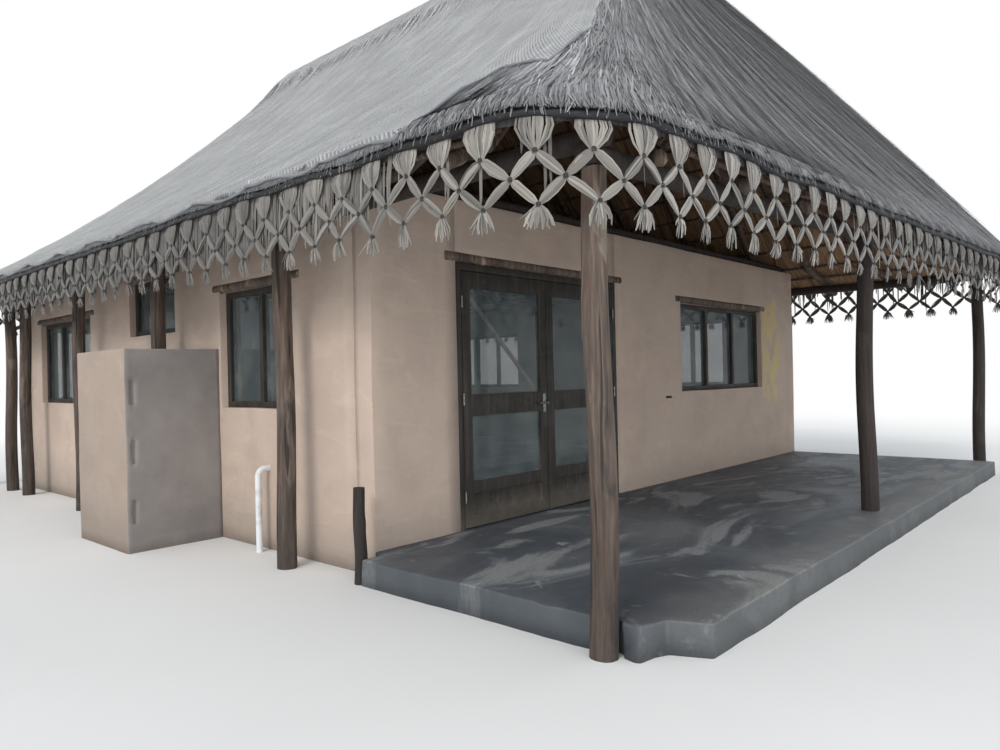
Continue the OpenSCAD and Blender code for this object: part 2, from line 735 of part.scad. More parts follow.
// Hip rafters start inside the crossing of the eave beams and are spliced to the fan near the top
hip_start = 0.12;
hip_tip = 0.92;
module end_rafters() {
    color(pole_colour) {
        fan_rafters("front", eave_fl, eave_fr);
        fan_rafters("back", eave_br, eave_bl);
        rafter("front", front_points[0], hip_start, hip_tip);
        rafter("front", right_points[0], hip_start, hip_tip);
        rafter("back", back_points[0], hip_start, hip_tip);
        rafter("back", left_points[0], hip_start, hip_tip);
    }
}

// Ridge pole, where it lies against the rafters of both sides
function ridge_line(side, k) =
    rafter_under(side, 1, k) - (seat + ridge_pole_d / 2) / cos(pitch(side, 0.99, k));
module ridge_pole() {
    up = [tan(pitch("left", 0.99, 0)), tan(pitch("right", 0.99, 1))];
    at = [ridge_line("left", 0), ridge_line("right", 1)];
    x = (at[1] - at[0]) / (up[0] + up[1]);
    z = at[0] + up[0] * x;
    color(pole_colour)
        log_between([ridge_x + x, ridge_y0 - rafter_d, z], [ridge_x + x, ridge_y1 + rafter_d, z], ridge_pole_d);
}

// Battens across the rafters, straight between the rounded corners
function batten_point(side, e, s) =
    let (k = place(e))
    on_roof(e, s, z_in(s, k) - batten_room(side) + (seat + batten_d / 2) / cos(pitch(side, s, k)));
module battens_on(side, a, b) {
    p0 = a + unit(b - a) * eave_round;
    p1 = b + unit(a - b) * eave_round;
    for (i = [0 : batten_rows - 1])
        let (s = 0.03 + 0.9 * i / (batten_rows - 1))
        log_between(batten_point(side, p0, s), batten_point(side, p1, s), batten_d);
}
module battens() {
    color(pole_colour) {
        battens_on("front", eave_fl, eave_fr);
        battens_on("right", eave_fr, eave_br);
        battens_on("back", eave_br, eave_bl);
        battens_on("left", eave_bl, eave_fl);
    }
}

// Upright section through the thatch at an eave point: up the outside, down the inside
function thatch_section(e) =
    let (k = place(e))
    concat([for (i = [0 : levels - 1]) let (s = cap_s * i / (levels - 1)) on_roof(e, s, z_out(s, k))],
           [on_roof(e, top_s, z_out(top_s, k))],
           [for (s = [top_s, mid_s, knee_s, 0]) on_roof(e, s, z_in(s, k))]);
// Neighbouring slopes are kept apart at the hips by this much
hip_gap = 0.3;
function moved(list) =
    let (n = len(list) - 1)
    [for (i = [0 : n])
        i == 0 ? list[0] + unit(list[1] - list[0]) * hip_gap / 2 :
        i == n ? list[n] + unit(list[n - 1] - list[n]) * hip_gap / 2 : list[i]];
module thatch(points, turned = 1000) {
    color(thatch_colour) loft([for (e = moved(points)) thatch_section(e)], turned);
}
// The front slope's underside is split so that it keeps over the battens
module thatch_front() { thatch(front_points, levels + 1); }
module thatch_left() { thatch(left_points); }
module thatch_right() { thatch(right_points); }
module thatch_back() { thatch(back_points); }

// Ridge cap: a saddle of thatch over the top edges of the four slopes
module ridge_cap() {
    foot = max(z_out(top_s, 0), z_out(top_s, 1)) + seat;
    crown = ridge_z + cap_t / 3;
    rim = [[cap_s, seat], [cap_s, cap_t], [0.94, cap_t], [0.975, cap_t * 0.8]];
    color(thatch_colour)
        loft(concat([[for (e = eave_ring) on_roof(e, top_s, foot)]],
                    [for (k = rim) [for (e = eave_ring) on_roof(e, k[0], z_out(k[0], place(e)) + k[1])]],
                    [[for (e = eave_ring) on_roof(e, 0.992, crown)]]));
}

// Shade net laid over the left slope, from near the front hip to the back hip
net_low = 2;
net_clear = 0.002;
function net_point(e, i, up) =
    let (s = cap_s * i / (levels - 1)) on_roof(e, i == levels - 1 ? s - net_clear : s, z_out(s, place(e)) + up);
module shade_net() {
    points = [for (i = [2 : len(left_points) - 4]) left_points[i]];
    color("dimgray")
        loft([for (e = points)
            concat([for (i = [net_low : levels - 1]) net_point(e, i, seat)],
                   [for (i = [levels - 1 : -1 : net_low]) net_point(e, i, seat + net_t)])]);
}

// Short waste pipe at the foot of the left wall, with an elbow into the wall
pipe_d = 50;
pipe_y = 1345;
pipe_h = 660;
pipe_out = 100;
pipe_bend = 60;
module waste_pipe() {
    color("white") translate([xl - pipe_out, yf + pipe_y, 0]) {
        cylinder(d = pipe_d, h = pipe_h - pipe_bend);
        translate([pipe_bend, 0, pipe_h - pipe_bend])
            rotate([90, 0, 180])
                rotate_extrude(angle = 90) translate([pipe_bend, 0]) circle(d = pipe_d);
        translate([pipe_bend, 0, pipe_h]) rotate([0, 90, 0])
            cylinder(d = pipe_d, h = pipe_out - pipe_bend - seat);
    }
}

// Tube along a closed line of points
tube_sides = 6;
module ring_tube(path, d) {
    n = len(path);
    points = [for (i = [0 : n - 1])
        let (t = unit(path[(i + 1) % n] - path[(i + n - 1) % n]), side = [t[1], -t[0], 0])
        for (k = [0 : tube_sides - 1])
            let (a = 360 * k / tube_sides)
            path[i] + d / 2 * (cos(a) * side + sin(a) * [0, 0, 1])];
    faces = [for (i = [0 : n - 1], k = [0 : tube_sides - 1])
        let (j = (i + 1) % n, l = (k + 1) % tube_sides,
             a = i * tube_sides + k, b = j * tube_sides + k, c = j * tube_sides + l, e = i * tube_sides + l)
        each [[a, b, c], [a, c, e]]];
    polyhedron(points, faces, convexity = 10);
}
binding_z = zin_0 + binding_d / 2;
// Point of a closed line moved outwards, square to it, by d
function outward(path, i, d) =
    let (n = len(path), u = unit(path[i] - path[(i + n - 1) % n]), v = unit(path[(i + 1) % n] - path[i]),
         t = unit(u + v), c = sqrt((1 + u * v) / 2))
    path[i] + [t[1], -t[0]] * d / c;
module eave_binding() {
    color(timber_colour)
        ring_tube([for (i = [0 : len(eave_ring) - 1])
            let (p = outward(eave_ring, i, binding_d / 2 + 2 * seat)) [p[0], p[1], binding_z]], binding_d);
}

// Knotted fringe: flat repeats of two fans, a lattice of tied bundles and a tassel
fringe_top = binding_z - binding_d / 2 - seat;
function resample(points, n) =
    let (steps = [for (i = [1 : len(points) - 1]) norm(points[i] - points[i - 1])],
         sums = [for (i = 0, s = 0; i <= len(steps); s = s + (i < len(steps) ? steps[i] : 0), i = i + 1) s],
         total = sums[len(sums) - 1])
    [for (k = [0 : n])
        let (d = total * k / n,
             i = min(len(steps) - 1, max([for (q = [0 : len(sums) - 1]) sums[q] <= d ? q : 0])))
        lerp(points[i], points[i + 1], (d - sums[i]) / steps[i])];
function path_length(points) = sum_of([for (i = [1 : len(points) - 1]) norm(points[i] - points[i - 1])]);
function sum_of(v) = v * [for (x = v) 1];

// Levels of the knots, as shares of the drop, and sizes of the tied bundles
knot_rows = [0.26, 0.51, 0.76];
bundle_w = 26;
knot_w = 36;
knot_h = 34;
knot_out = 4;
// Distance that a bundle stops short of the line between two repeats
bundle_gap = 4;

// Bundle of leaf strips from a to b, with upright ends
module bundle_bar(a, b) {
    k = [0, bundle_w / 2 * norm(b - a) / abs(b[0] - a[0])];
    polygon([a - k, b - k, b + k, a + k]);
}
// One repeat of the fringe, as wide as its chord: fan, crossing bundles, tassel
module fringe_unit(w) {
    mid = w / 2;
    y = [for (r = knot_rows) -fringe_drop * r];
    linear_extrude(fringe_t) {
        polygon([[mid * 0.48, 0], [mid - bundle_w / 2, y[0]], [mid + bundle_w / 2, y[0]], [mid * 1.52, 0]]);
        for (x = [bundle_gap, w - bundle_gap]) {
            bundle_bar([mid, y[0]], [x, y[1]]);
            bundle_bar([mid, y[2]], [x, y[1]]);
        }
        polygon([[mid - bundle_w / 2, y[2]], [mid * 0.66, -fringe_drop],
                 [mid * 1.34, -fringe_drop], [mid + bundle_w / 2, y[2]]]);
    }
    for (r = [y[0], y[2]]) knot(mid - knot_w / 2, mid + knot_w / 2, r);
}
// Cord binding between two positions along the repeat, a little thicker than the bundles
module knot(x0, x1, y) {
    translate([x0, y - knot_h / 2, -knot_out]) cube([x1 - x0, knot_h, fringe_t + 2 * knot_out]);
}
module fringe(points) {
    n = round(path_length(points) / fringe_pitch);
    path = resample(points, n);
    color(leaf_colour)
        for (i = [0 : n - 1])
            let (a = path[i], b = path[i + 1], v = b - a, w = norm(v))
            translate([a[0], a[1], fringe_top])
                rotate([0, 0, atan2(v[1], v[0])])
                    rotate([90, 0, 0]) {
                        fringe_unit(w);
                        knot(i > 0 ? -knot_w / 2 : bundle_gap / 2, knot_w / 2, -fringe_drop * knot_rows[1]);
                        if (i == n - 1)
                            knot(w - knot_w / 2, w - bundle_gap / 2, -fringe_drop * knot_rows[1]);
                    }
}
module fringe_front() { fringe(front_points); }
module fringe_left() { fringe(left_points); }
module fringe_right() { fringe(right_points); }
module fringe_back() { fringe(back_points); }

floor_slab();
verandah_slab();
front_wall_left();
front_wall_over_door();
front_wall_right();
left_wall();
right_wall();
back_wall();
wall_plates();
shower_screen();
lintels();
door_frame();
left_door_leaf();
left_door_glass();
right_door_leaf();
right_door_glass();
door_hinges();
door_handle();
door_brace();
front_window_frame();
side_window_frames();
back_window_frames();
window_glass();
front_posts();
side_posts();
back_posts();
stump();
eave_beams();
side_rafters();
end_rafters();
ridge_pole();
battens();
thatch_front();
thatch_left();
thatch_right();
thatch_back();
ridge_cap();
shade_net();
waste_pipe();
eave_binding();
fringe_front();
fringe_left();
fringe_right();
fringe_back();
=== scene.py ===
"""Thatched beach cottage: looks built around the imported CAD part. Metres, +Z up, front faces -Y."""
import math
import bpy
import bmesh
import numpy as np
from mathutils import Matrix, Vector, noise


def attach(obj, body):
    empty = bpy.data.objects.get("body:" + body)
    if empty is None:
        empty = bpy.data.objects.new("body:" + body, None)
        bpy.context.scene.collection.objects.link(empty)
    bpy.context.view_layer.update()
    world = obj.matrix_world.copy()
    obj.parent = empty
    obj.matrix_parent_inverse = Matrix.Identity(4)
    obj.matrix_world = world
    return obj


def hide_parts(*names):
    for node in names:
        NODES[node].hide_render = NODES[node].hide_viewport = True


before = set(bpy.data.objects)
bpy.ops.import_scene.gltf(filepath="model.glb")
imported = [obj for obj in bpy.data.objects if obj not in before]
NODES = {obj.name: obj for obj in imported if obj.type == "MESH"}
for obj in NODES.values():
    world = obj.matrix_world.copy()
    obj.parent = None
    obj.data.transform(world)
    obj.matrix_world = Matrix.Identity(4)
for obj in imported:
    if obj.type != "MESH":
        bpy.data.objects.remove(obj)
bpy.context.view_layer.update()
# noise_vector() takes its offsets from this seed, and from the clock where none is set
noise.seed_set(1)

# ------------ camera and lamps
EYE = Vector((-7.08, -7.89, 1.37))
FORWARD = Vector((0.7437, 0.6685, 0.0)).normalized()
ROLL = math.radians(1.26)
LENS, SENSOR, VIEW_END = 26.86, 36, 900


def add_object(name, data):
    obj = bpy.data.objects.new(name, data)
    bpy.context.collection.objects.link(obj)
    return obj


def place_camera():
    data = bpy.data.cameras.new("camera")
    data.lens, data.sensor_width, data.clip_end = LENS, SENSOR, VIEW_END
    cam = add_object("camera", data)
    up = Vector((0, 0, 1))
    side = FORWARD.cross(up)
    right = side * math.cos(ROLL) - up * math.sin(ROLL)
    top = up * math.cos(ROLL) + side * math.sin(ROLL)
    m = Matrix((right, top, -FORWARD)).transposed().to_4x4()
    m.translation = EYE
    cam.matrix_world = m
    bpy.context.scene.camera = cam


def lamp(name, kind, energy, aim, place=(0, 0, 0), **values):
    """A lamp at a place that shines along aim; values are its other settings."""
    data = bpy.data.lights.new(name, kind)
    data.energy = energy
    for k, v in values.items():
        setattr(data, k, v)
    obj = add_object(name, data)
    obj.location = place
    obj.rotation_euler = Vector(aim).to_track_quat("-Z", "Y").to_euler()


place_camera()
lamp("key", "SUN", 1.5, (0.92, 0.24, -0.6), angle=math.radians(24), color=(1.0, 0.985, 0.965))
lamp("fill", "SUN", 0.46, (0.35, 0.92, -0.3), angle=math.radians(50), color=(0.95, 0.97, 1.0))
# Light as if thrown back by pale ground, up to the fringe and the wall's corner
lamp("low_bounce", "AREA", 55, (3.0, 4.2, 2.2), (-6.0, -9.4, 0.5), shape="RECTANGLE", size=4.0, size_y=0.8)
bpy.context.scene.view_settings.view_transform = "Standard"


# ------------ node helpers
def lin(r, g, b):
    """A colour given as 0 to 255 sRGB values, as the shader's linear values."""
    def one(v):
        v = v / 255
        return v / 12.92 if v <= 0.04045 else ((v + 0.055) / 1.055) ** 2.4
    return (one(r), one(g), one(b), 1.0)


class Nodes:
    """A node tree with short calls for its nodes."""

    def __init__(self, owner):
        owner.use_nodes = True
        self.t = owner.node_tree

    def add(self, kind, **values):
        """A node. Values with a capital are its sockets, with _ for a space; the others its settings."""
        n = self.t.nodes.new("ShaderNode" + kind)
        for k, v in values.items():
            if k[0].isupper():
                n.inputs[k.replace("_", " ")].default_value = v
            else:
                setattr(n, k, v)
        return n

    def link(self, a, b):
        self.t.links.new(a, b)

    def seen_white(self, out, both, fac, lit, white):
        """Ends the tree in out: lit, or white as far as fac says."""
        for a, b in ((fac, both.inputs[0]), (lit.outputs[0], both.inputs[1]),
                     (white.outputs[0], both.inputs[2]), (both.outputs[0], out.inputs["Surface"])):
            self.link(a, b)

    def camera_ray(self):
        return self.add("LightPath").outputs["Is Camera Ray"]


class Shade(Nodes):
    """A material on the object's own coordinates."""

    def __init__(self, name):
        self.mat = bpy.data.materials.new(name)
        super().__init__(self.mat)
        self.bsdf = self.t.nodes["Principled BSDF"]
        self.pos = None

    def coords(self, scale=(1, 1, 1)):
        if self.pos is None:
            self.pos = self.add("TexCoord").outputs["Object"]
        if scale == (1, 1, 1):
            return self.pos
        m = self.add("Mapping", Scale=scale)
        self.link(self.pos, m.inputs["Vector"])
        return m.outputs["Vector"]

    def noise(self, size, scale=(1, 1, 1), detail=4.0, rough=0.55, warp=0.0):
        n = self.add("TexNoise", Scale=size, Detail=detail, Roughness=rough, Distortion=warp)
        self.link(self.coords(scale), n.inputs["Vector"])
        return n.outputs["Fac"]

    def ramp(self, fac, *stops):
        """A colour ramp. Each stop is its position and its colour from 0 to 255."""
        n = self.add("ValToRGB")
        e = n.color_ramp.elements
        while len(e) > 1:
            e.remove(e[-1])
        for i, (place, *rgb) in enumerate(stops):
            stop = e.new(place) if i else e[0]
            stop.position, stop.color = place, lin(*rgb)
        self.link(fac, n.inputs["Fac"])
        return n.outputs["Color"]

    def level(self, fac, low, high, out_low=0.0, out_high=1.0):
        """out_low up to fac's value low, rising smoothly to out_high at the value high."""
        n = self.add("MapRange", interpolation_type="SMOOTHSTEP", From_Min=low, From_Max=high,
                     To_Min=out_low, To_Max=out_high)
        self.link(fac, n.inputs["Value"])
        return n.outputs["Result"]

    def math(self, op, *values):
        n = self.add("Math", operation=op)
        for i, v in enumerate(values):
            if isinstance(v, (int, float)):
                n.inputs[i].default_value = v
            else:
                self.link(v, n.inputs[i])
        return n.outputs[0]

    def sum(self, a, b, k=None):
        """a plus b, or plus k times b."""
        return self.math("ADD", a, b if k is None else self.math("MULTIPLY", b, k))

    def product(self, first, *others):
        for other in others:
            first = self.math("MULTIPLY", first, other)
        return first

    def mix(self, fac, a, b):
        n = self.add("Mix", data_type="RGBA", blend_type="MIX")
        for socket, v in ((n.inputs["Factor"], fac), (n.inputs[6], a), (n.inputs[7], b)):
            if isinstance(v, (int, float, tuple)):
                socket.default_value = v
            else:
                self.link(v, socket)
        return n.outputs[2]

    def tint(self, base, rgb, fac, *span):
        """base with a colour laid over it, as strong as level() makes fac."""
        return self.mix(self.level(fac, *span), base, lin(*rgb))

    def part(self, vector, which):
        n = self.add("SeparateXYZ")
        self.link(vector, n.inputs[0])
        return n.outputs[which]

    def axis(self, which):
        return self.part(self.coords(), which)

    def facing(self, which):
        """The surface normal's part along one axis."""
        return self.part(self.add("NewGeometry").outputs["Normal"], which)

    def inside(self, which, low, high, soft, wave):
        """1 between two positions on an axis, fading over soft, its limits pushed about by wave."""
        v = self.sum(self.axis(which), self.math("SUBTRACT", wave, 0.5), 0.5)
        return self.product(self.level(v, low - soft, low + soft),
                            self.level(v, high - soft, high + soft, 1, 0))

    def finish(self, colour, rough, *bumps):
        """The colour, the roughness and the bumps, each a height and its depth, laid over each other."""
        self.link(colour, self.bsdf.inputs["Base Color"])
        if isinstance(rough, (int, float)):
            self.bsdf.inputs["Roughness"].default_value = rough
        else:
            self.link(rough, self.bsdf.inputs["Roughness"])
        under = None
        for height, depth, *strength in bumps:
            n = self.add("Bump", Distance=depth, Strength=strength[0] if strength else 1.0)
            self.link(height, n.inputs["Height"])
            if under is not None:
                self.link(under, n.inputs["Normal"])
            under = n.outputs["Normal"]
            self.link(under, self.bsdf.inputs["Normal"])
        return self.mat


def studio_world():
    """Even light for the object, and plain white for the camera."""
    world = bpy.data.worlds.new("studio")
    bpy.context.scene.world = world
    w = Nodes(world)
    w.t.nodes.clear()
    out, both = w.add("OutputWorld"), w.add("MixShader")
    lit = w.add("Background", Color=(0.9, 0.95, 1.0, 1), Strength=0.85)
    white = w.add("Background", Color=(1, 1, 1, 1), Strength=1.0)
    w.seen_white(out, both, w.camera_ray(), lit, white)


studio_world()


# ------------ materials
def plaster(name="plaster", grey=0.0):
    """Sand plaster floated by hand over blocks. grey is how strongly the -Y faces are painted grey, as painted
    shade.
    """
    s = Shade(name)
    broad = s.noise(0.55, detail=3)
    cloud = s.noise(2.3, detail=6, rough=0.62)
    trowel = s.noise(3.2, (1, 1, 2.6), detail=3, warp=0.8)
    grain = s.noise(160, detail=3)
    runs = s.noise(2.6, (1, 1, 0.16), detail=5, rough=0.6)
    c = s.ramp(broad, (0.3, 186, 167, 154), (0.52, 198, 179, 164), (0.72, 183, 168, 157))
    c = s.tint(c, (175, 157, 145), cloud, 0.42, 0.7, 0, 0.5)
    c = s.tint(c, (212, 194, 176), trowel, 0.52, 0.75, 0, 0.35)
    c = s.tint(c, (158, 143, 134), runs, 0.56, 0.74, 0, 0.3)
    # Sun-yellow render left round the right end of the front window
    patch = s.product(s.inside(0, 2.8, 3.3, 0.035, s.noise(3.1, detail=5)),
                      s.inside(2, 0.98, 2.3, 0.04, s.noise(2.6, detail=5)),
                      s.level(s.axis(1), -3.75, -3.7, 1, 0),
                      s.level(s.noise(5.5, (1, 1, 0.5), detail=7, rough=0.7), 0.44, 0.5))
    c = s.mix(patch, c, lin(208, 188, 142))
    # Grey cement and splashed soil at the foot
    foot = s.level(s.sum(s.axis(2), cloud, 0.7), 0.36, 0.85, 1, 0)
    c = s.mix(s.product(foot, 0.6), c, lin(142, 133, 124))
    if grey:
        # Painted shade: faces turned to -Y are made grey
        face = s.level(s.facing(1), -0.8, -0.5, grey, 0)
        tone = s.ramp(cloud, (0.35, 122, 120, 120), (0.65, 146, 142, 139))
        c = s.mix(face, s.mix(0.45, c, lin(124, 112, 104)), tone)
    c = s.tint(c, (134, 116, 100), grain, 0.35, 0.75, 0, 0.2)
    s.bsdf.inputs["Specular IOR Level"].default_value = 0.25
    return s.finish(c, 0.93, (s.noise(1.7, detail=3, rough=0.5), 0.014), (trowel, 0.005), (grain, 0.0014))


def concrete():
    """Floated verandah concrete, dark where worn smooth, with dried cement water over it."""
    s = Shade("concrete")
    broad = s.noise(0.55, detail=6, rough=0.66, warp=0.7)
    smear = s.noise(0.55, (1, 2.4, 1), detail=9, rough=0.62, warp=1.1)
    drip = s.noise(2.2, (1.6, 1, 1), detail=7, rough=0.7, warp=1.2)
    fine = s.noise(60, detail=4)
    c = s.ramp(broad, (0.32, 60, 65, 71), (0.48, 76, 81, 87), (0.6, 94, 98, 101), (0.72, 118, 120, 120))
    c = s.tint(c, (150, 151, 150), smear, 0.52, 0.6, 0, 0.62)
    c = s.tint(c, (176, 176, 172), drip, 0.6, 0.68, 0, 0.5)
    # Soil washed over the outer edge, and painted shade on the slab's upright sides
    c = s.tint(c, (134, 132, 127), s.sum(s.axis(1), drip, 0.5), -5.95, -5.55, 0.4, 0)
    c = s.tint(c, (66, 71, 75), s.facing(2), 0.3, 0.75, 0.55, 0)
    c = s.tint(c, (66, 70, 74), fine, 0.4, 0.75, 0, 0.35)
    return s.finish(c, s.level(smear, 0.4, 0.65, 0.5, 0.85), (broad, 0.008), (smear, 0.004), (fine, 0.0018))


def pole_wood(name, red=0.5, dark=0.0):
    """Natural pole: grey weathered wood with strips of bark, pale peeled scars and long cracks."""
    s = Shade(name)
    fibre = s.noise(38, (1, 1, 0.07), detail=6, rough=0.6)
    patch = s.noise(4.5, (1, 1, 0.45), detail=5, rough=0.6, warp=0.7)
    scar = s.noise(7, (1, 1, 0.3), detail=3, warp=0.4)
    crack = s.noise(22, (1, 1, 0.05), detail=3, rough=0.5, warp=0.5)
    c = s.ramp(fibre, (0.25, 60, 50, 45), (0.5, 100, 86, 76), (0.75, 140, 124, 110))
    for rgb, fac, *span in (((112, 68, 48), patch, 0.5, 0.66, 0, 0.6 * red + 0.1),
                            ((52, 46, 45), patch, 0.46, 0.34, 0, 0.65),
                            ((176, 162, 146), scar, 0.62, 0.69, 0, 0.15 + red),
                            ((26, 21, 20), crack, 0.33, 0.4, 0.85, 0),
                            ((40, 34, 32), s.axis(2), 0.1, 1.3, 0.5, 0)):
        c = s.tint(c, rgb, fac, *span)
    if dark:
        c = s.mix(dark, c, lin(34, 29, 28))
    return s.finish(c, 0.85, (crack, 0.009), (fibre, 0.005), (patch, 0.016))


def dark_timber():
    s = Shade("dark_timber")
    grain = s.noise(26, (1, 1, 0.06), detail=6, rough=0.62, warp=0.3)
    wear = s.noise(5, detail=6, rough=0.7)
    c = s.ramp(grain, (0.3, 30, 27, 24), (0.55, 50, 45, 39), (0.75, 74, 66, 57))
    c = s.tint(c, (110, 102, 92), wear, 0.55, 0.75, 0, 0.45)
    c = s.tint(c, (112, 104, 94), s.sum(s.axis(2), wear, 0.3), 0.3, 0.62, 0.5, 0)
    return s.finish(c, s.level(wear, 0.3, 0.7, 0.5, 0.78), (grain, 0.0015))


def glass(name):
    """Clear glass, dusty, dark against the unlit room behind it, and lightened by painted reflection."""
    s = Shade(name)
    dirt = s.noise(3.5, detail=6, rough=0.6)
    spots = s.noise(9, detail=7, rough=0.7)
    # Painted reflection: a lifted base colour, with lighter mottles and pale flecks that are partly dust and
    # partly painted reflection
    c = s.tint(lin(88, 99, 102), (124, 132, 130), dirt, 0.35, 0.7)
    c = s.tint(c, (178, 182, 174), spots, 0.6, 0.72, 0, 0.5)
    s.bsdf.inputs["IOR"].default_value = 1.5
    s.bsdf.inputs["Alpha"].default_value = 0.42
    return s.finish(c, s.level(dirt, 0.4, 0.8, 0.03, 0.16))


def metal(name, rgb, rough):
    s = Shade(name)
    wear = s.noise(60, detail=5)
    c = s.tint(lin(*rgb), [v * 0.7 for v in rgb], wear, 0.45, 0.7)
    s.bsdf.inputs["Metallic"].default_value = 0.9
    return s.finish(c, s.level(wear, 0.3, 0.7, rough, rough + 0.2), (wear, 0.0004))


def pale_stick():
    s = Shade("pale_stick")
    fibre = s.noise(70, (0.3, 1, 0.3), detail=5)
    return s.finish(s.ramp(fibre, (0.3, 150, 136, 116), (0.7, 202, 190, 170)), 0.8, (fibre, 0.001))


def thatch(name, stretch):
    """Weathered palm thatch, its fibres long where stretch is small. Its underside is unweathered,
    and brown."""
    s = Shade(name)
    fibre = s.noise(90, stretch, detail=5, rough=0.65)
    tuft = s.noise(9, stretch, detail=4, rough=0.6)
    age = s.noise(0.7, detail=4)
    c = s.ramp(fibre, (0.25, 34, 33, 35), (0.5, 66, 65, 68), (0.75, 104, 103, 106))
    c = s.tint(c, (44, 42, 45), tuft, 0.4, 0.7, 0, 0.4)
    c = s.tint(c, (92, 88, 86), age, 0.45, 0.7, 0, 0.3)
    under = s.ramp(fibre, (0.25, 78, 58, 44), (0.5, 158, 124, 94), (0.75, 208, 172, 132))
    under = s.tint(under, (60, 40, 28), tuft, 0.45, 0.65, 0, 0.6)
    c = s.mix(s.level(s.facing(2), -0.35, -0.15, 1, 0), c, under)
    return s.finish(c, 0.9, (tuft, 0.02), (fibre, 0.006))


def leaf(name, stops, sheen=0.25):
    """Dry leaf strips: each strip's own tone is in the attribute tone, and its length runs along U."""
    s = Shade(name)
    tone = s.add("Attribute", attribute_name="tone").outputs["Fac"]
    m = s.add("Mapping", Scale=(4, 60, 1))
    s.link(s.add("UVMap").outputs["UV"], m.inputs["Vector"])
    vein = s.add("TexNoise", Scale=1.0, Detail=4)
    s.link(m.outputs["Vector"], vein.inputs["Vector"])
    vein = vein.outputs["Fac"]
    age = s.noise(1.1, detail=5)
    value = s.sum(s.product(tone, 0.7), s.sum(s.product(vein, 0.25), age, 0.25))
    s.bsdf.inputs["Sheen Weight"].default_value = sheen
    return s.finish(s.ramp(value, *stops), 0.62, (vein, 0.002, 0.6))


def net():
    """Knitted shade net: threads with holes between them, from the sheet's own UV in metres, bleached
    in streaks down the slope."""
    s = Shade("net")
    parts = s.add("SeparateXYZ")
    s.link(s.add("UVMap").outputs["UV"], parts.inputs[0])
    bars = []
    for a, b, period in ((1.0, 0.4, 0.034), (-0.3, 1.0, 0.017)):
        way = s.sum(s.product(parts.outputs[0], a), parts.outputs[1], b)
        bars.append(s.level(s.math("SINE", s.product(way, 2 * math.pi / period)), 0.0, 0.6))
    threads = s.math("MAXIMUM", *bars)
    wear = s.noise(3, detail=5)
    streak = s.noise(8, (0.05, 1, 0.05), detail=5, rough=0.65, warp=0.3)
    c = s.tint(lin(150, 150, 151), (180, 180, 179), wear, 0.35, 0.7)
    c = s.tint(c, (222, 221, 216), streak, 0.56, 0.7, 0, 0.7)
    c = s.tint(c, (112, 113, 117), streak, 0.46, 0.34, 0, 0.5)
    c = s.mix(s.product(threads, 0.35), c, lin(226, 226, 224))
    s.link(s.sum(s.product(threads, 0.5), 0.3), s.bsdf.inputs["Alpha"])
    return s.finish(c, 0.75, (threads, 0.002))


def pipe_plastic(name="pipe_plastic", clean=(226, 228, 230), dirty=(190, 186, 176)):
    s = Shade(name)
    dirt = s.noise(9, detail=6)
    c = s.tint(lin(*clean), dirty, dirt, 0.45, 0.75)
    return s.finish(c, s.level(dirt, 0.3, 0.7, 0.35, 0.6), (dirt, 0.0005))


def strand_stops(k):
    """Weathered strand colours, from shaded gaps to bleached tips, scaled in brightness by k: painted light
    above 1, painted shade below 1.
    """
    return [(place, *(v * k for v in rgb)) for place, *rgb in (
        (0.12, 42, 41, 43), (0.36, 88, 88, 91), (0.62, 134, 134, 136), (0.95, 190, 188, 184))]


M = {
    # The screen's plaster is the plain plaster with painted shade on its -Y faces
    "plaster": plaster(), "screen_plaster": plaster("screen_plaster", 0.85),
    "concrete": concrete(), "dark_timber": dark_timber(),
    "pole_wood": pole_wood("pole_wood"), "dark_pole": pole_wood("dark_pole", 0.3, 0.85),
    "left_pole": pole_wood("left_pole", 0.1, 0.3), "near_pole": pole_wood("near_pole", 0.25, 0.3),
    "lath": pole_wood("lath", 0.9), "steel": metal("steel", (150, 148, 145), 0.35),
    "pale_stick": pale_stick(), "window_glass": glass("window_glass"),
    "thatch_x": thatch("thatch_x", (0.06, 1, 0.06)), "thatch_y": thatch("thatch_y", (1, 0.06, 0.06)),
    # Lit and shaded copies of one strand colour: painted light on the left slope, painted shade on the other
    # slopes and the eave's hanging ends
    "strand_painted_lit": leaf("strand_painted_lit", strand_stops(1.3)),
    "strand_painted_shade": leaf("strand_painted_shade", strand_stops(0.92)),
    "leaf": leaf("palm_leaf", [(0.15, 54, 51, 48), (0.42, 94, 90, 85), (0.75, 134, 129, 122),
                               (1.0, 168, 163, 155)]),
    "under_leaf": leaf("under_leaf", [(0.2, 84, 60, 44), (0.5, 150, 116, 84), (0.95, 208, 172, 132)]),
    "bound_roll": leaf("bound_roll", [(0.2, 14, 13, 15), (0.6, 28, 27, 30), (1.0, 50, 48, 50)], 0.0),
    "cord": leaf("tie_cord", [(0.2, 26, 24, 24), (0.8, 58, 53, 50)]),
    "net": net(), "net_edge": leaf("net_edge", [(0.2, 112, 114, 118), (0.8, 176, 178, 182)]),
    "pipe_plastic": pipe_plastic(),
    "dark_pipe": pipe_plastic("dark_pipe", (58, 58, 60), (84, 80, 74)),
}
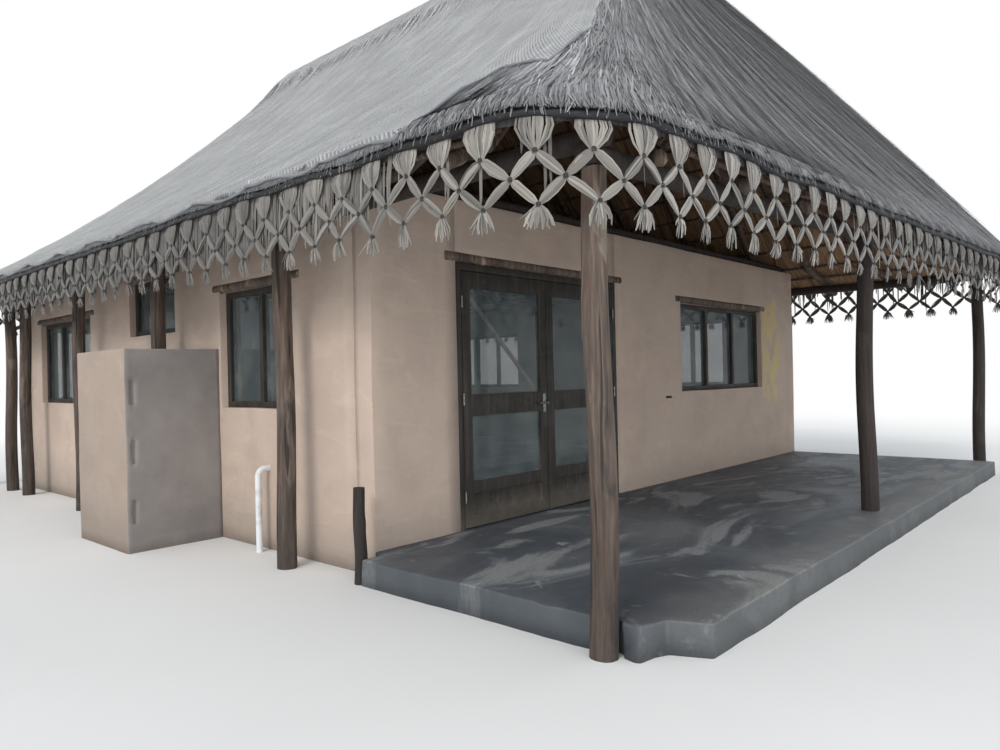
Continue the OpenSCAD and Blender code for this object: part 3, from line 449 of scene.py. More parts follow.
# Each CAD node's material is that of the first row with a word of its name, or else dark timber
LOOKS = [
    ("concrete", "_slab"), ("dark_pole", "wall_plates"), ("screen_plaster", "shower_screen"),
    ("plaster", "_wall"), ("lath", "battens"),
    ("pole_wood", "posts", "rafters", "lintels", "eave_beams", "stump", "ridge_pole"),
    ("thatch_x", "thatch_left", "thatch_right"), ("thatch_y", "thatch", "ridge_cap"), ("leaf", "fringe"),
    ("bound_roll", "eave_binding"), ("window_glass", "glass"), ("steel", "door_hinges", "door_handle"),
    ("pale_stick", "door_brace"), ("net", "shade_net"), ("pipe_plastic", "waste_pipe"), ("dark_timber", ""),
]
NODE_MATERIAL = {name: next(look for look, *words in LOOKS if any(word in name for word in words))
                 for name in NODES}
for name, obj in NODES.items():
    if not obj.material_slots:
        obj.data.materials.append(M[NODE_MATERIAL[name]])
    for slot in obj.material_slots:
        slot.material = M[NODE_MATERIAL[name]]


# ------------ pieces from points and faces
def add_piece(name, mesh, material, slot, replaces=None, body="house", smooth=True, sharp=None):
    """Adds one piece, shaded smooth but for edges of more than sharp degrees."""
    if smooth:
        mesh.shade_smooth()
    if sharp:
        mesh.set_sharp_from_angle(angle=math.radians(sharp))
    mesh.materials.clear()
    mesh.materials.append(M[material])
    obj = add_object(name, mesh)
    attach(obj, body)
    if replaces:
        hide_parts(replaces)
    return obj


def build(name, verts, faces, material, slot, uv=None, tone=None, **how):
    """A piece from its points and faces, with each point's place in the UV map and its tone, if any."""
    mesh = bpy.data.meshes.new(name)
    mesh.from_pydata(np.asarray(verts).reshape(-1, 3).tolist(), [], faces)
    if tone is not None:
        layer = mesh.attributes.new("tone", "FLOAT", "POINT")
        layer.data.foreach_set("value", tone.ravel().astype(np.float32))
    if uv:
        index = np.zeros(len(mesh.loops), dtype=np.int32)
        mesh.loops.foreach_get("vertex_index", index)
        places = np.stack([axis[index] for axis in uv], axis=-1).astype(np.float32)
        mesh.uv_layers.new(name="UVMap").data.foreach_set("uv", places.ravel())
    return add_piece(name, mesh, material, slot, **how)


def from_bmesh(bm, name, material, slot, **how):
    mesh = bpy.data.meshes.new(name)
    bm.to_mesh(mesh)
    bm.free()
    return add_piece(name, mesh, material, slot, **how)


def tube_faces(rings, sides, first=0, closed=False, flip=False):
    """Faces between rings of points, numbered from first; closed joins the last ring to the first."""
    faces = []
    for i in range(rings if closed else rings - 1):
        here, there = first + i * sides, first + (i + 1) % rings * sides
        for k in range(sides):
            q = (k + 1) % sides
            a, b, c, d = here + k, there + k, there + q, here + q
            faces.append((a, d, c, b) if flip else (a, b, c, d))
    return faces


def unit(v):
    return v / np.linalg.norm(v, axis=-1, keepdims=True)


def clamp(v):
    return min(max(v, 0.0), 1.0)


# ------------ the roof's own shape
XL, XR, YF, YB = -3.85, 3.85, -3.8, 3.8
EAVE_Z, RIDGE_Z, BELL_LEFT, BELL_RIGHT = 2.65, 6.5, 0.3, -0.1
EAVE_SIDE, EAVE_FL, EAVE_FR, EAVE_BACK, EAVE_ROUND = 0.64, 2.2, 2.73, 0.95, 0.7
RIDGE_Y0, RIDGE_Y1 = YF + 0.45, YB - 1.05
EAVE_T, ROLL_D, CAP_T = 0.12, 0.05, 0.09
THATCH_DEEP = 0.26  # upright thickness of the thatch above the eave
CORNERS = [np.array(p) for p in ((XL - EAVE_SIDE, YF - EAVE_FL), (XR + EAVE_SIDE, YF - EAVE_FR),
                                 (XR + EAVE_SIDE, YB + EAVE_BACK), (XL - EAVE_SIDE, YB + EAVE_BACK))]
SIDES = ["front", "right", "back", "left"]


def bell_at(e):
    """Bend of the slope over an eave point: it changes from the left side to the right."""
    return BELL_LEFT + (BELL_RIGHT - BELL_LEFT) * np.clip((e[..., 0] - XL) / (XR - XL), 0, 1)


def z_out(s, bell):
    return EAVE_Z + (RIDGE_Z - EAVE_Z) * ((1 - bell) * s + bell * s * s)


def eave_run(side):
    """Points along one slope's eave, from hip to hip, close together, with the corners rounded."""
    i = SIDES.index(side)
    prev, a, b, after = (CORNERS[(i + k - 1) % 4] for k in range(4))

    def curve(p, q, r, t):
        q0, q1 = q + unit(p - q) * EAVE_ROUND, q + unit(r - q) * EAVE_ROUND
        u, v = q0 + (q - q0) * t, q + (q1 - q) * t
        return u + (v - u) * t
    first = [curve(prev, a, b, 0.5 + 0.5 * k / 12) for k in range(12)]
    start, end = a + unit(b - a) * EAVE_ROUND, b + unit(a - b) * EAVE_ROUND
    middle = [start + (end - start) * k / 40 for k in range(40)]
    last = [curve(a, b, after, 0.5 * k / 12) for k in range(13)]
    return np.array(first + middle + last)


def along(points):
    """Distance of each point along a line of points, and the line's length."""
    d = np.concatenate([[0], np.cumsum(np.linalg.norm(np.diff(points, axis=0), axis=1))])
    return d, d[-1]


def ridge_of(e):
    """Place on the ridge that belongs to an eave point."""
    r = np.zeros_like(e)
    r[..., 1] = np.clip(e[..., 1], RIDGE_Y0, RIDGE_Y1)
    return r


# The whole eave as one ring, so that strips may cross a hip
RUNS = {side: eave_run(side) for side in SIDES}
RING = np.concatenate([RUNS[side][:-1] for side in SIDES] + [RUNS["front"][:1]])
RING_AT, RING_LEN = along(RING)
START, LENGTH = {}, {}
for side in SIDES:
    START[side] = sum(LENGTH.values())
    LENGTH[side] = along(RUNS[side])[1]


def ring_point(where):
    """Eave point at a distance along the ring, from the front-left hip by way of the front."""
    where = np.mod(where, RING_LEN)
    return np.stack([np.interp(where, RING_AT, RING[:, k]) for k in (0, 1)], axis=-1)


def ring_along(where):
    """Level direction along the ring at a distance from its start."""
    return unit(ring_point(where + 0.02) - ring_point(where - 0.02))


def ring_out(where):
    """Level direction away from the house at a distance along the ring."""
    t = ring_along(where)
    return np.stack([t[..., 1], -t[..., 0]], axis=-1)


def roof_point(where, s, lift=0.0):
    """Point of the outer surface at the share s of the way from a place on the eave ring up to the
    ridge, lifted square to the surface, with the surface's normal."""
    e, t = ring_point(where), ring_along(where)
    up = ridge_of(e) - e
    bell = bell_at(e)
    rise = (RIDGE_Z - EAVE_Z) * ((1 - bell) + 2 * bell * s)
    n = unit(np.stack([t[..., 1] * rise, -t[..., 0] * rise,
                       t[..., 0] * up[..., 1] - t[..., 1] * up[..., 0]], axis=-1))
    base = np.concatenate([e + up * s[..., None], z_out(s, bell)[..., None]], axis=-1)
    return base + n * np.asarray(lift)[..., None], n


def roll_z(e):
    """Height of the wavy bound roll's centre at an eave point."""
    x, y = e[..., 0], e[..., 1]
    near = np.clip(1.2 - np.hypot(x + 4.5, y + 6.0) / 6, 0.35, 1)
    return 2.566 + near * (0.013 * np.sin(4.3 * x + 1.7 * y + 0.6) + 0.008 * np.sin(7.9 * y - 6.1 * x))


# ------------ strips of leaf
def strips_mesh(name, rows, width, tone, material, up, slot="thatch"):
    """One mesh of many narrow strips. rows is an array (strips, points, 3); width is (strips, points);
    up gives each strip's facing direction, or one for each of its points."""
    n, m, _ = rows.shape
    if up.ndim == 2:
        up = np.repeat(up[:, None, :], m, axis=1)
    side = np.cross(np.gradient(rows, axis=1), up)
    side /= np.linalg.norm(side, axis=-1, keepdims=True) + 1e-12
    half = width[..., None] / 2
    first = (np.arange(n)[:, None] * m + np.arange(m - 1)).reshape(-1, 1) * 2
    length = np.linalg.norm(np.diff(rows, axis=1), axis=-1)
    u = np.concatenate([np.zeros((n, 1)), np.cumsum(length, axis=1)], axis=1)
    v = np.tile([0, 0.3], n * m) + np.repeat(np.arange(n), m * 2) * 0.37
    return build(name, np.stack([rows + side * half, rows - side * half], axis=2),
                 (first + [0, 1, 3, 2]).tolist(), material, slot, uv=(u.repeat(2), v),
                 tone=np.repeat(tone, m * 2))


def widths(rng, count, narrow, wide, shape):
    """Random widths of strips, times the shape that they all have along their length."""
    return rng.uniform(narrow, wide, count)[:, None] * np.array(shape)


def tones(rng, count, mean, spread, more=0.0):
    return np.clip(rng.normal(mean, spread, count) + more, 0, 1)


LEFT_X = -4.2  # eave points further left than this lie on the left slope
# The shade net: its ends by the eave, its top, and how high its low edge lies near the front hip
NET_Y0, NET_Y1, NET_TOP = -5.83, 4.5, 0.985
NET_LOW_Y = [-5.83, -5.71, -5.66, -5.41, -5.17, -5.02, -4.97, -4.9]
NET_LOW_S = [0.33, 0.25, 0.175, 0.20, 0.222, 0.17, 0.05, 0.004]


def net_low(e_y):
    """Share of the slope where the net begins: high beside the front hip, and the eave behind it."""
    return np.interp(e_y, NET_LOW_Y, NET_LOW_S)


def shade(e):
    """How much darker the strips are on the shaded slopes, over an eave point."""
    x, y = e[..., 0], e[..., 1]
    darker = np.interp(x, [-4.3, -2.5, 0.0, 4.3], [0.02, -0.06, -0.16, -0.46])
    return np.where((x < -4.25) & (y > -5.7), 0.0, darker)


def under_net(e, s):
    """Whether a place on the left slope lies under the shade net."""
    x, y = e[..., 0], e[..., 1]
    return (x < LEFT_X) & (y > NET_Y0 - 0.05) & (y < NET_Y1 + 0.05) & (s > net_low(y) - 0.02)


def clumps(where, s, seed):
    """Slow waves across a slope, which gather the strands in locks."""
    a, b, c = np.random.default_rng(seed).uniform(0, 6.28, 3)
    return (np.sin(where * 15 + 1.2 * np.sin(where * 3.1 + a) + 2.0 * s)
            + 0.6 * np.sin(where * 37 + b + 3 * np.sin(where * 2.3))
            + 0.5 * np.sin(s * 19 + where * 3 + c)) / 2.1


def thatch_strands(side, count, seed):
    """Long palm strips laid down the slope over the solid thatch, gathered in locks."""
    rng = np.random.default_rng(seed)
    # More strips low on the slope, because it is wider there
    s_tip = 1 - np.sqrt(rng.random(count) * 0.995)
    s_tip = np.clip(s_tip * 1.02 - 0.012, -0.012, 0.93)
    where = START[side] + rng.random(count) * LENGTH[side]
    e = ring_point(where)
    slope_len = np.hypot(np.linalg.norm(ridge_of(e) - e, axis=-1), RIDGE_Z - EAVE_Z)
    length = rng.uniform(0.55, 1.25, count)
    k = np.linspace(0, 1, 4)
    s = np.minimum(s_tip[:, None] + (1 - k) * (length / slope_len)[:, None], 0.985)
    lock = clumps(where, s_tip, seed)
    stray = rng.normal(0, 0.03, count) + rng.normal(0, 0.10, count) * (rng.random(count) < 0.12)
    pull = np.cos(where * 15 + 1.2 * np.sin(where * 3.1)) * 0.014
    slide = (stray + pull)[:, None] * (k - 0.5)
    bow = rng.normal(0, 0.008, count)[:, None] * np.sin(np.pi * k)
    place = where[:, None] + (slide + bow) / (1 - s * 0.9)
    tip = rng.gamma(2.0, 0.006, count) + 0.008 * np.clip(lock, 0, 1)
    lift = 0.004 + k ** 1.6 * tip[:, None] + 0.008 * rng.random(count)[:, None]
    lift = np.clip(lift + 0.012 * (lock + 0.3)[:, None] * (0.5 + 0.5 * k), 0.002, 0.06)
    if side == "left":
        lift = np.where(under_net(ring_point(place), s), np.minimum(lift, 0.02), lift)
    rows, normal = roof_point(place, s, lift)
    width = widths(rng, count, 0.004, 0.013, [0.7, 1.0, 0.9, 0.25])
    strips_mesh("thatch_strands_" + side, rows, width, tones(rng, count, 0.47, 0.18, 0.10 * lock + shade(e)),
                "strand_painted_lit" if side == "left" else "strand_painted_shade", normal.mean(axis=1))


def eave_shag(side, count, seed):
    """Strip ends that bend over the thatch edge and stop just above the bound roll."""
    rng = np.random.default_rng(seed)
    where = START[side] + np.sort(rng.random(count)) * LENGTH[side]
    slide = rng.normal(0, 0.012, count) + 0.012 * np.sin(where * 23)
    e, e_low = ring_point(where), ring_point(where + slide)
    out = ring_out(where)
    # Held down by the net where it hangs over the edge
    held = (e[:, 0] < LEFT_X) & (e[:, 1] > -4.95) & (e[:, 1] < NET_Y1)
    high = np.where(held, 0.4, 1.0)
    start, _ = roof_point(where + rng.normal(0, 0.04, count), rng.uniform(0.05, 0.12, count),
                          rng.uniform(0.008, 0.03, count) * high)
    over, _ = roof_point(where, np.full(count, 0.012), rng.uniform(0.014, 0.036, count) * high)
    bulge = rng.uniform(0.0, 0.018, count) + 0.007 * np.sin(where * 19)
    bulge = np.where(held, bulge * 0.3, bulge)
    stop = roll_z(e_low) + ROLL_D * 0.36 + rng.gamma(1.6, 0.006, count) - 0.04 * (rng.random(count) < 0.08)
    knee = np.column_stack([e + out * (0.034 + bulge)[:, None], 0.5 * EAVE_Z + 0.5 * stop + 0.012])
    tip = np.column_stack([e_low + out * (0.05 + bulge)[:, None], stop])
    width = widths(rng, count, 0.005, 0.014, [0.9, 1.0, 0.9, 0.35])
    strips_mesh("eave_shag_" + side, np.stack([start, over, knee, tip], axis=1), width,
                tones(rng, count, 0.44, 0.18, shade(e)), "strand_painted_shade",
                unit(np.column_stack([out, np.full(count, 0.5)])))


def bound_roll():
    """Dark rope of bound fibre that runs in waves under the thatch edge."""
    n, sides = 900, 10
    where = np.linspace(0, RING_LEN, n, endpoint=False)
    c, out = ring_point(where), ring_out(where)
    a = np.arange(sides) * 2 * np.pi / sides
    twist = a * 3 + where[:, None] * 46
    fat = 1 + 0.10 * np.sin(where * 5.3) + 0.06 * np.sin(where * 12.7)
    r = ROLL_D / 2 * (0.78 * fat[:, None] + 0.10 * np.sin(twist))
    p = c + out * (ROLL_D / 2 + 0.006)
    x = p[:, None, :] + out[:, None, :] * (np.cos(a) * r)[..., None]
    z = roll_z(c)[:, None] + np.sin(a) * r * 1.02
    build("bound_roll", np.concatenate([x, z[..., None]], axis=2), tube_faces(n, sides, closed=True),
          "bound_roll", "bound_roll", uv=(np.repeat(where, sides), np.tile(np.arange(sides) / sides, n)),
          tone=0.45 + 0.4 * np.sin(twist), replaces="eave_binding")


def cap_lift(s):
    """Height of the ridge cap's back over the slope, by the share of the way up."""
    return np.interp(s, [0.86, 0.895, 0.905, 0.94, 0.975, 0.992],
                     [0.0, 0.02, CAP_T, CAP_T, CAP_T * 0.8, 0.03])


def cap_strands(count, seed):
    """Strips laid over the ridge cap, down both of its sides and past its lower edge."""
    rng = np.random.default_rng(seed)
    k = np.linspace(0, 1, 5)
    for side in SIDES:
        n = count if side in ("left", "right") else count // 3
        where = START[side] + rng.random(n) * LENGTH[side]
        top = rng.uniform(0.94, 0.99, n)
        low = np.minimum(rng.uniform(0.80, 0.93, n), top - 0.03)
        s = top[:, None] + (low - top)[:, None] * k
        # Pressed flat under the net on the left
        *foot, rough, material = ((0.004, 0.010, 0.008, "strand_painted_lit") if side == "left"
                                  else (0.02, 0.05, 0.02, "strand_painted_shade"))
        lift = np.interp(s, [0.80, 0.86, 0.9, 0.94, 0.975, 0.992],
                         [*foot, CAP_T + 0.006, CAP_T + 0.004, CAP_T * 0.8 + 0.004, 0.034])
        rows, normal = roof_point(np.repeat(where[:, None], 5, axis=1), s, np.zeros_like(s))
        rows[..., 2] += lift + 0.003 + rng.uniform(0, rough, n)[:, None] * k ** 2
        rows[..., :2] += rng.normal(0, 0.02, (n, 1, 2)) * k[:, None]
        width = widths(rng, n, 0.006, 0.016, [0.7, 1.0, 1.0, 0.9, 0.3])
        strips_mesh("cap_strands_" + side, rows, width, tones(rng, n, 0.45, 0.2, shade(ring_point(where))),
                    material, normal.mean(axis=1))


def under_strands(side, count, seed):
    """Leaf ends that hang through between the battens on the thatch's brown underside."""
    rng = np.random.default_rng(seed)
    s0 = 1 - np.sqrt(rng.uniform(0.25, 0.97, count))
    where = START[side] + rng.random(count) * LENGTH[side]
    k = np.linspace(0, 1, 3)
    s = np.clip(s0[:, None] - k * rng.uniform(0.02, 0.06, count)[:, None], 0.01, 1)
    # The underside runs straight between the eave, the knee over the wall, the middle and the ridge
    knee, middle = (EAVE_SIDE + 0.095) / (EAVE_SIDE + XR), 0.55
    z0, z1 = EAVE_Z - EAVE_T, RIDGE_Z - THATCH_DEEP
    zk = z_out(knee, BELL_LEFT) - THATCH_DEEP
    zm = (z_out(middle, bell_at(ring_point(where))) - THATCH_DEEP)[:, None]
    z = np.where(s < knee, z0 + (zk - z0) * s / knee,
                 np.where(s < middle, zk + (zm - zk) * (s - knee) / (middle - knee),
                          zm + (z1 - zm) * (s - middle) / (1 - middle)))
    rows, normal = roof_point(np.repeat(where[:, None], 3, axis=1), s, np.zeros_like(s))
    rows[..., 2] = z - 0.002 - rng.uniform(0, 0.03, count)[:, None] * k
    rows[..., :2] += rng.normal(0, 0.02, (count, 1, 2)) * k[:, None]
    width = widths(rng, count, 0.006, 0.016, [1.0, 1.0, 0.4])
    strips_mesh("under_leaf_" + side, rows, width, tones(rng, count, 0.5, 0.22), "under_leaf",
                -normal.mean(axis=1))


share = 1.0
for i, (side, strands, shag, under) in enumerate((("front", 24000, 6000, 3500), ("right", 10500, 2200, 3500),
                                                  ("back", 8500, 2000, 1500), ("left", 23000, 6500, 1500))):
    thatch_strands(side, int(strands * share), 11 + i)
    eave_shag(side, int(shag * share), 51 + i)
    under_strands(side, int(under * share), 71 + i)
cap_strands(int(2000 * share), 91)
bound_roll()


# ------------ the knotted fringe
FRINGE_DROP, FRINGE_PITCH = 0.49, 0.27
FRINGE_ROWS = (0.27, 0.52, 0.76)
FRINGE_TOP = EAVE_Z - EAVE_T - 0.002


def drop_at(where):
    """The fringe hangs lowest at the corner by the near post, and a little shorter along the left."""
    x, y = ring_point(np.asarray(where, dtype=float))
    return FRINGE_DROP * (1 - 0.1 * clamp((y + 4.6) / 3.0) * (x < -3.6))


class Strips:
    """Collects strips by their number of points, to make one mesh of each."""

    def __init__(self):
        self.rows, self.ups, self.widths, self.tones = {}, {}, {}, {}

    def add(self, where, out, z, width, tone, turn=0.0):
        """One strip: distances along the eave, outwards and upwards; turn swings its face sideways."""
        e, o = ring_point(where), ring_out(where)
        out = np.zeros_like(where) + out
        m = len(where)
        x, y = e[0]
        # Greyer along the left, and darkest at the right, in the roof's own shade
        tone = tone * (1 - (0.58 * clamp((y + 5.3) / 2.8) if x < -3.6 else 0.75 * clamp((x + 2) / 4)))
        up = unit(o + np.stack([-o[:, 1], o[:, 0]], axis=1) * turn)
        for bag, value in ((self.rows, np.column_stack([e + o * out[:, None], z])),
                           (self.ups, np.column_stack([up, np.zeros(m)])),
                           (self.widths, width), (self.tones, tone)):
            bag.setdefault(m, []).append(value)

    def meshes(self, name):
        return [strips_mesh("%s_%d" % (name, m), np.stack(self.rows[m]), np.stack(self.widths[m]),
                            np.array(self.tones[m]), "leaf", np.stack(self.ups[m]), "palm_leaf")
                for m in sorted(self.rows)]


class Fringe:
    """One side's fringe: fans of split leaf, tied in leaf-shaped loops down to tassels."""

    def __init__(self, side, seed):
        self.rng = np.random.default_rng(seed)
        self.side, self.first, self.total = side, START[side], LENGTH[side]
        self.n = max(2, int(round(self.total / FRINGE_PITCH)))
        self.pitch = self.total / self.n
        self.strips = Strips()
        self.knots = {}
        self.fans()
        self.bundles()
        self.tassels()
        self.loose_strips()
        pieces = self.strips.meshes("fringe_leaf_" + side)
        self.ties()
        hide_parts("fringe_" + side)

    def knot(self, r, i):
        """Place, distance out and height of one knot, a little out of true."""
        if (r, i) not in self.knots:
            where = self.first + (i + (0.0 if r == 1 else 0.5)) * self.pitch
            z = FRINGE_TOP - float(drop_at(where)) * FRINGE_ROWS[r]
            edge = r == 1 and i in (0, self.n)
            self.knots[(r, i)] = (where + (0 if edge else self.rng.normal(0, 0.010)),
                                  self.rng.uniform(0.010, 0.018),
                                  z + (0 if edge else self.rng.normal(0, 0.008)))
        return self.knots[(r, i)]

    def tone(self):
        bright = self.rng.random() < 0.85
        return self.rng.uniform(0.42, 1.0) if bright else self.rng.uniform(0.05, 0.42)

    def wide(self, *shape, low=0.8, high=1.15):
        return np.array(shape) * self.rng.uniform(low, high)

    def fans(self):
        """Fans, as wide as a lampshade down to where they are gathered."""
        rng = self.rng
        t = np.array([0.0, 0.35, 0.68, 0.9, 1.04])
        for i in range(self.n):
            w0, o0, z0 = self.knot(0, i)
            m = int(rng.integers(12, 17))
            wide = self.pitch * rng.uniform(0.62, 0.72)
            z_top = float(roll_z(ring_point(w0))) - 0.004
            for k in range(m):
                a = (k + 0.5) / m - 0.5 + rng.normal(0, 0.012)
                spread = a * wide * np.array([0.94, 1.0, 0.72, 0.34, 0.16]) + rng.normal(0, 0.002, 5)
                belly = 0.030 * np.sqrt(max(0.0, 1 - (1.9 * a) ** 2)) * np.array([0.3, 1.0, 0.8, 0.3, 0.05])
                self.strips.add(w0 + spread, o0 + 0.004 + belly, z_top + (z0 - z_top) * t,
                                self.wide(0.0135, 0.0145, 0.0125, 0.008, 0.006), self.tone(), a * 0.9)

    def bundles(self):
        """Leaf-shaped bundles between the rows of knots."""
        rng = self.rng
        t = np.array([0.0, 0.18, 0.45, 0.76, 1.0])
        pairs = [(0, i, j) for i in range(self.n) for j in (i, i + 1)]
        pairs += [(1, i, j) for i in range(self.n + 1) for j in (i - 1, i) if 0 <= j < self.n]
        for r, i, j in pairs:
            w0, o0, z0 = self.knot(r, i)
            w1, o1, z1 = self.knot(r + 1, j)
            across = unit(np.array([z1 - z0, -(w1 - w0)]))
            m = int(rng.integers(5, 8))
            belly = rng.uniform(0.040, 0.054)
            for k in range(m):
                a = (k + 0.5) / m - 0.5
                off = a * belly * np.array([0.2, 0.82, 1.0, 0.78, 0.18]) + rng.normal(0, 0.0013, 5)
                lift = 0.003 + 0.013 * np.sin(np.pi * t) * (1 - 3 * a * a) + rng.normal(0, 0.0012)
                self.strips.add(w0 + (w1 - w0) * t + across[0] * off, o0 + (o1 - o0) * t + lift,
                                z0 + (z1 - z0) * t + across[1] * off,
                                self.wide(0.007, 0.012, 0.0125, 0.0115, 0.006), self.tone())

    def tassels(self):
        """Tassels under the lowest knots, with shorter loose ends in front."""
        rng = self.rng
        t = np.array([0.0, 0.3, 0.65, 1.0])
        for i in range(self.n):
            w0, o0, z0 = self.knot(2, i)
            bottom = FRINGE_TOP - float(drop_at(w0)) - 0.012
            m = int(rng.integers(10, 16))
            spread = rng.uniform(0.095, 0.145)
            for k in range(m):
                a = (k + 0.5) / m - 0.5
                low = bottom + abs(a) * 0.03 + rng.gamma(1.5, 0.010)
                swing = a * spread * np.array([0.15, 0.6, 0.9, 1.0 + rng.normal(0, 0.18)])
                self.strips.add(w0 + swing, o0 + np.array([0.002, 0.012, 0.009, 0.004]) + rng.normal(0, 0.004),
                                z0 + (low - z0) * t, self.wide(0.007, 0.011, 0.011, 0.006, high=1.2),
                                self.tone(), rng.normal(0, 0.3))
            for k in range(int(rng.integers(2, 5))):
                low = z0 - rng.uniform(0.04, 0.1)
                self.strips.add(w0 + rng.normal(0, 0.5) * 0.07 * t, o0 + 0.008 + 0.014 * t,
                                z0 + (low - z0) * t, np.array([0.006, 0.009, 0.008, 0.003]), self.tone(),
                                rng.normal(0, 0.5))

    def loose_strips(self):
        """A few that slipped a tie, and a ragged row behind the lattice away from the near corner,
        gathered in tufts about as wide as a fan."""
        rng = self.rng
        t = np.array([0.0, 0.4, 0.8, 1.0])
        for _ in range(self.n * {"left": 105, "front": 20}.get(self.side, 6)):
            w0 = self.first + rng.uniform(0, self.total)
            e = ring_point(w0)
            corner = math.hypot(e[0] + 4.3, e[1] + 6.0)
            away = (e[1] + 4.9) / 1.2 if self.side == "left" else (corner - 2.5) / 3.5
            if rng.random() > 0.02 + 0.98 * clamp(away):
                continue
            z0 = float(roll_z(e)) - 0.01
            turn = w0 * 2 * math.pi / self.pitch
            long = rng.uniform(0.16, 0.45) * (0.86 + 0.14 * math.sin(turn + 1.0))
            pull = 0.05 * math.sin(turn) + rng.normal(0, 0.012)
            self.strips.add(w0 + pull * t * (1.2 - t), rng.uniform(-0.008, 0.010) + 0.006 * t, z0 - long * t,
                            np.array([0.011, 0.017, 0.014, 0.004]), self.tone() * rng.uniform(0.45, 0.95),
                            rng.normal(0, 0.4))

    def ties(self):
        """Turns of dark cord round each knot."""
        verts, faces = [], []
        sides, turns = 10, 3
        for (r, _), (w, o, z) in sorted(self.knots.items()):
            e, d = ring_point(w), ring_out(w)
            c = np.array([e[0] + d[0] * o, e[1] + d[1] * o, z])
            t, f = np.array([-d[1], d[0], 0.0]), np.array([d[0], d[1], 0.0])
            wide = 0.012 if r else 0.014
            for k in range(turns):
                start = len(verts)
                tilt = self.rng.normal(0, 0.18)
                big = 1.12 if k == 1 else 1.0
                for q in range(sides):
                    a = q * 2 * np.pi / sides
                    for part in (-1, 1):
                        h = 0.0072 * (k - 1) + part * 0.0036 + tilt * np.cos(a) * wide
                        verts.append(c + t * np.cos(a) * wide * big
                                     + f * (np.sin(a) * 0.013 * big + 0.003) + np.array([0, 0, h]))
                for q in range(sides):
                    p = (q + 1) % sides
                    faces.append([start + 2 * q, start + 2 * p, start + 2 * p + 1, start + 2 * q + 1])
        build("fringe_ties_" + self.side, verts, faces, "cord", "palm_leaf")


for i, side in enumerate(SIDES):
    Fringe(side, 31 + i)


# ------------ softened copies of the CAD pieces
def cad_points(name):
    mesh = NODES[name].data
    co = np.zeros(len(mesh.vertices) * 3)
    mesh.vertices.foreach_get("co", co)
    return co.reshape(-1, 3)


def wander(p, size, seed=0.0):
    """A slow random push in three directions at a point, about 1 long at most."""
    return noise.noise_vector(Vector((p[0], p[1], p[2])) / size + Vector((seed, seed * 1.7, seed * 0.3)))


def cut(bm, axis, at):
    """Cuts all faces along one plane across an axis."""
    normal = Vector([float(k == axis) for k in range(3)])
    bmesh.ops.bisect_plane(bm, geom=bm.verts[:] + bm.edges[:] + bm.faces[:], dist=1e-5,
                           plane_co=normal * at, plane_no=normal)


def cut_along(bm, axis, low, high, step):
    """Cuts all faces along a row of planes, so that they can bend between them."""
    for k in range(1, int((high - low) / step) + 1):
        cut(bm, axis, low + k * step)


def joined(node):
    """The CAD piece's mesh with its corners joined."""
    bm = bmesh.new()
    bm.from_mesh(NODES[node].data)
    bmesh.ops.remove_doubles(bm, verts=bm.verts, dist=2e-5)
    return bm


def bevelled(node, radius, skip=None, segments=2):
    """The CAD piece with its flat faces whole and its edges rounded, except where skip(edge)."""
    bm = joined(node)
    bmesh.ops.dissolve_limit(bm, angle_limit=math.radians(0.5), verts=bm.verts, edges=bm.edges)
    edges = [e for e in bm.edges if len(e.link_faces) == 2 and e.calc_face_angle(0) > math.radians(40)
             and not (skip and skip(e))]
    bmesh.ops.bevel(bm, geom=edges, offset=radius, offset_type="OFFSET", segments=segments, profile=0.5,
                    affect="EDGES", clamp_overlap=True)
    return bm


def soften(node, name, radius, material, slot, skip=None, grid=0.0, push=None, segments=2, **how):
    """A copy of a CAD piece with rounded edges. push(point) gives how far a point wanders from its
    place once the faces are cut in a grid."""
    bm = bevelled(node, radius, skip, segments)
    if grid:
        co = np.array([v.co[:] for v in bm.verts])
        for axis in range(3):
            cut_along(bm, axis, float(co[:, axis].min()), float(co[:, axis].max()), grid)
    if push:
        for v in bm.verts:
            v.co += push(v.co)
    bmesh.ops.triangulate(bm, faces=bm.faces)
    from_bmesh(bm, name, material, slot, replaces=node, **{"sharp": 35, **how})


def all_at(edge, axis, at, near):
    """Whether both ends of an edge lie at a place on an axis."""
    return all(abs(v.co[axis] - at) < near for v in edge.verts)


def clean_slope(side):
    """The CAD slope with its two hip faces filled afresh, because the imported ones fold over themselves."""
    bm = joined("thatch_" + side)
    for where in (START[side], START[side] + LENGTH[side]):
        hip = ring_point(where)
        way = unit(ridge_of(hip) - hip)
        flat, at = Vector((way[1], -way[0], 0)), Vector((hip[0], hip[1], 0))
        old = [f for f in bm.faces if abs(f.normal.dot(flat)) > 0.999
               and abs((f.calc_center_median() - at).dot(flat)) < 0.02]
        bmesh.ops.delete(bm, geom=old, context="FACES")
        rim = [e for e in bm.edges if len(e.link_faces) == 1]
        bmesh.ops.triangle_fill(bm, use_beauty=True, edges=rim, normal=flat)
    bmesh.ops.recalc_face_normals(bm, faces=bm.faces)
    from_bmesh(bm, "thatch_body_" + side, NODE_MATERIAL["thatch_" + side], "thatch",
               replaces="thatch_" + side, smooth=False)


for side in SIDES:
    clean_slope(side)

# ------------ walls
WALL_T = 0.19
door = cad_points("door_frame")
DOOR_X0, DOOR_X1 = float(door[:, 0].min()), float(door[:, 0].max())


def wall_push(p):
    """Hand-floated walls: faces that run a few millimetres out of true, except beside the doorway."""
    calm = 1.0 if p[1] > YF + 0.4 else clamp((max(DOOR_X0 - p[0], p[0] - DOOR_X1) - 0.02) / 0.25)
    return wander(p, 0.75) * 0.006 * calm + wander(p, 0.22, 5.0) * 0.0022 * calm


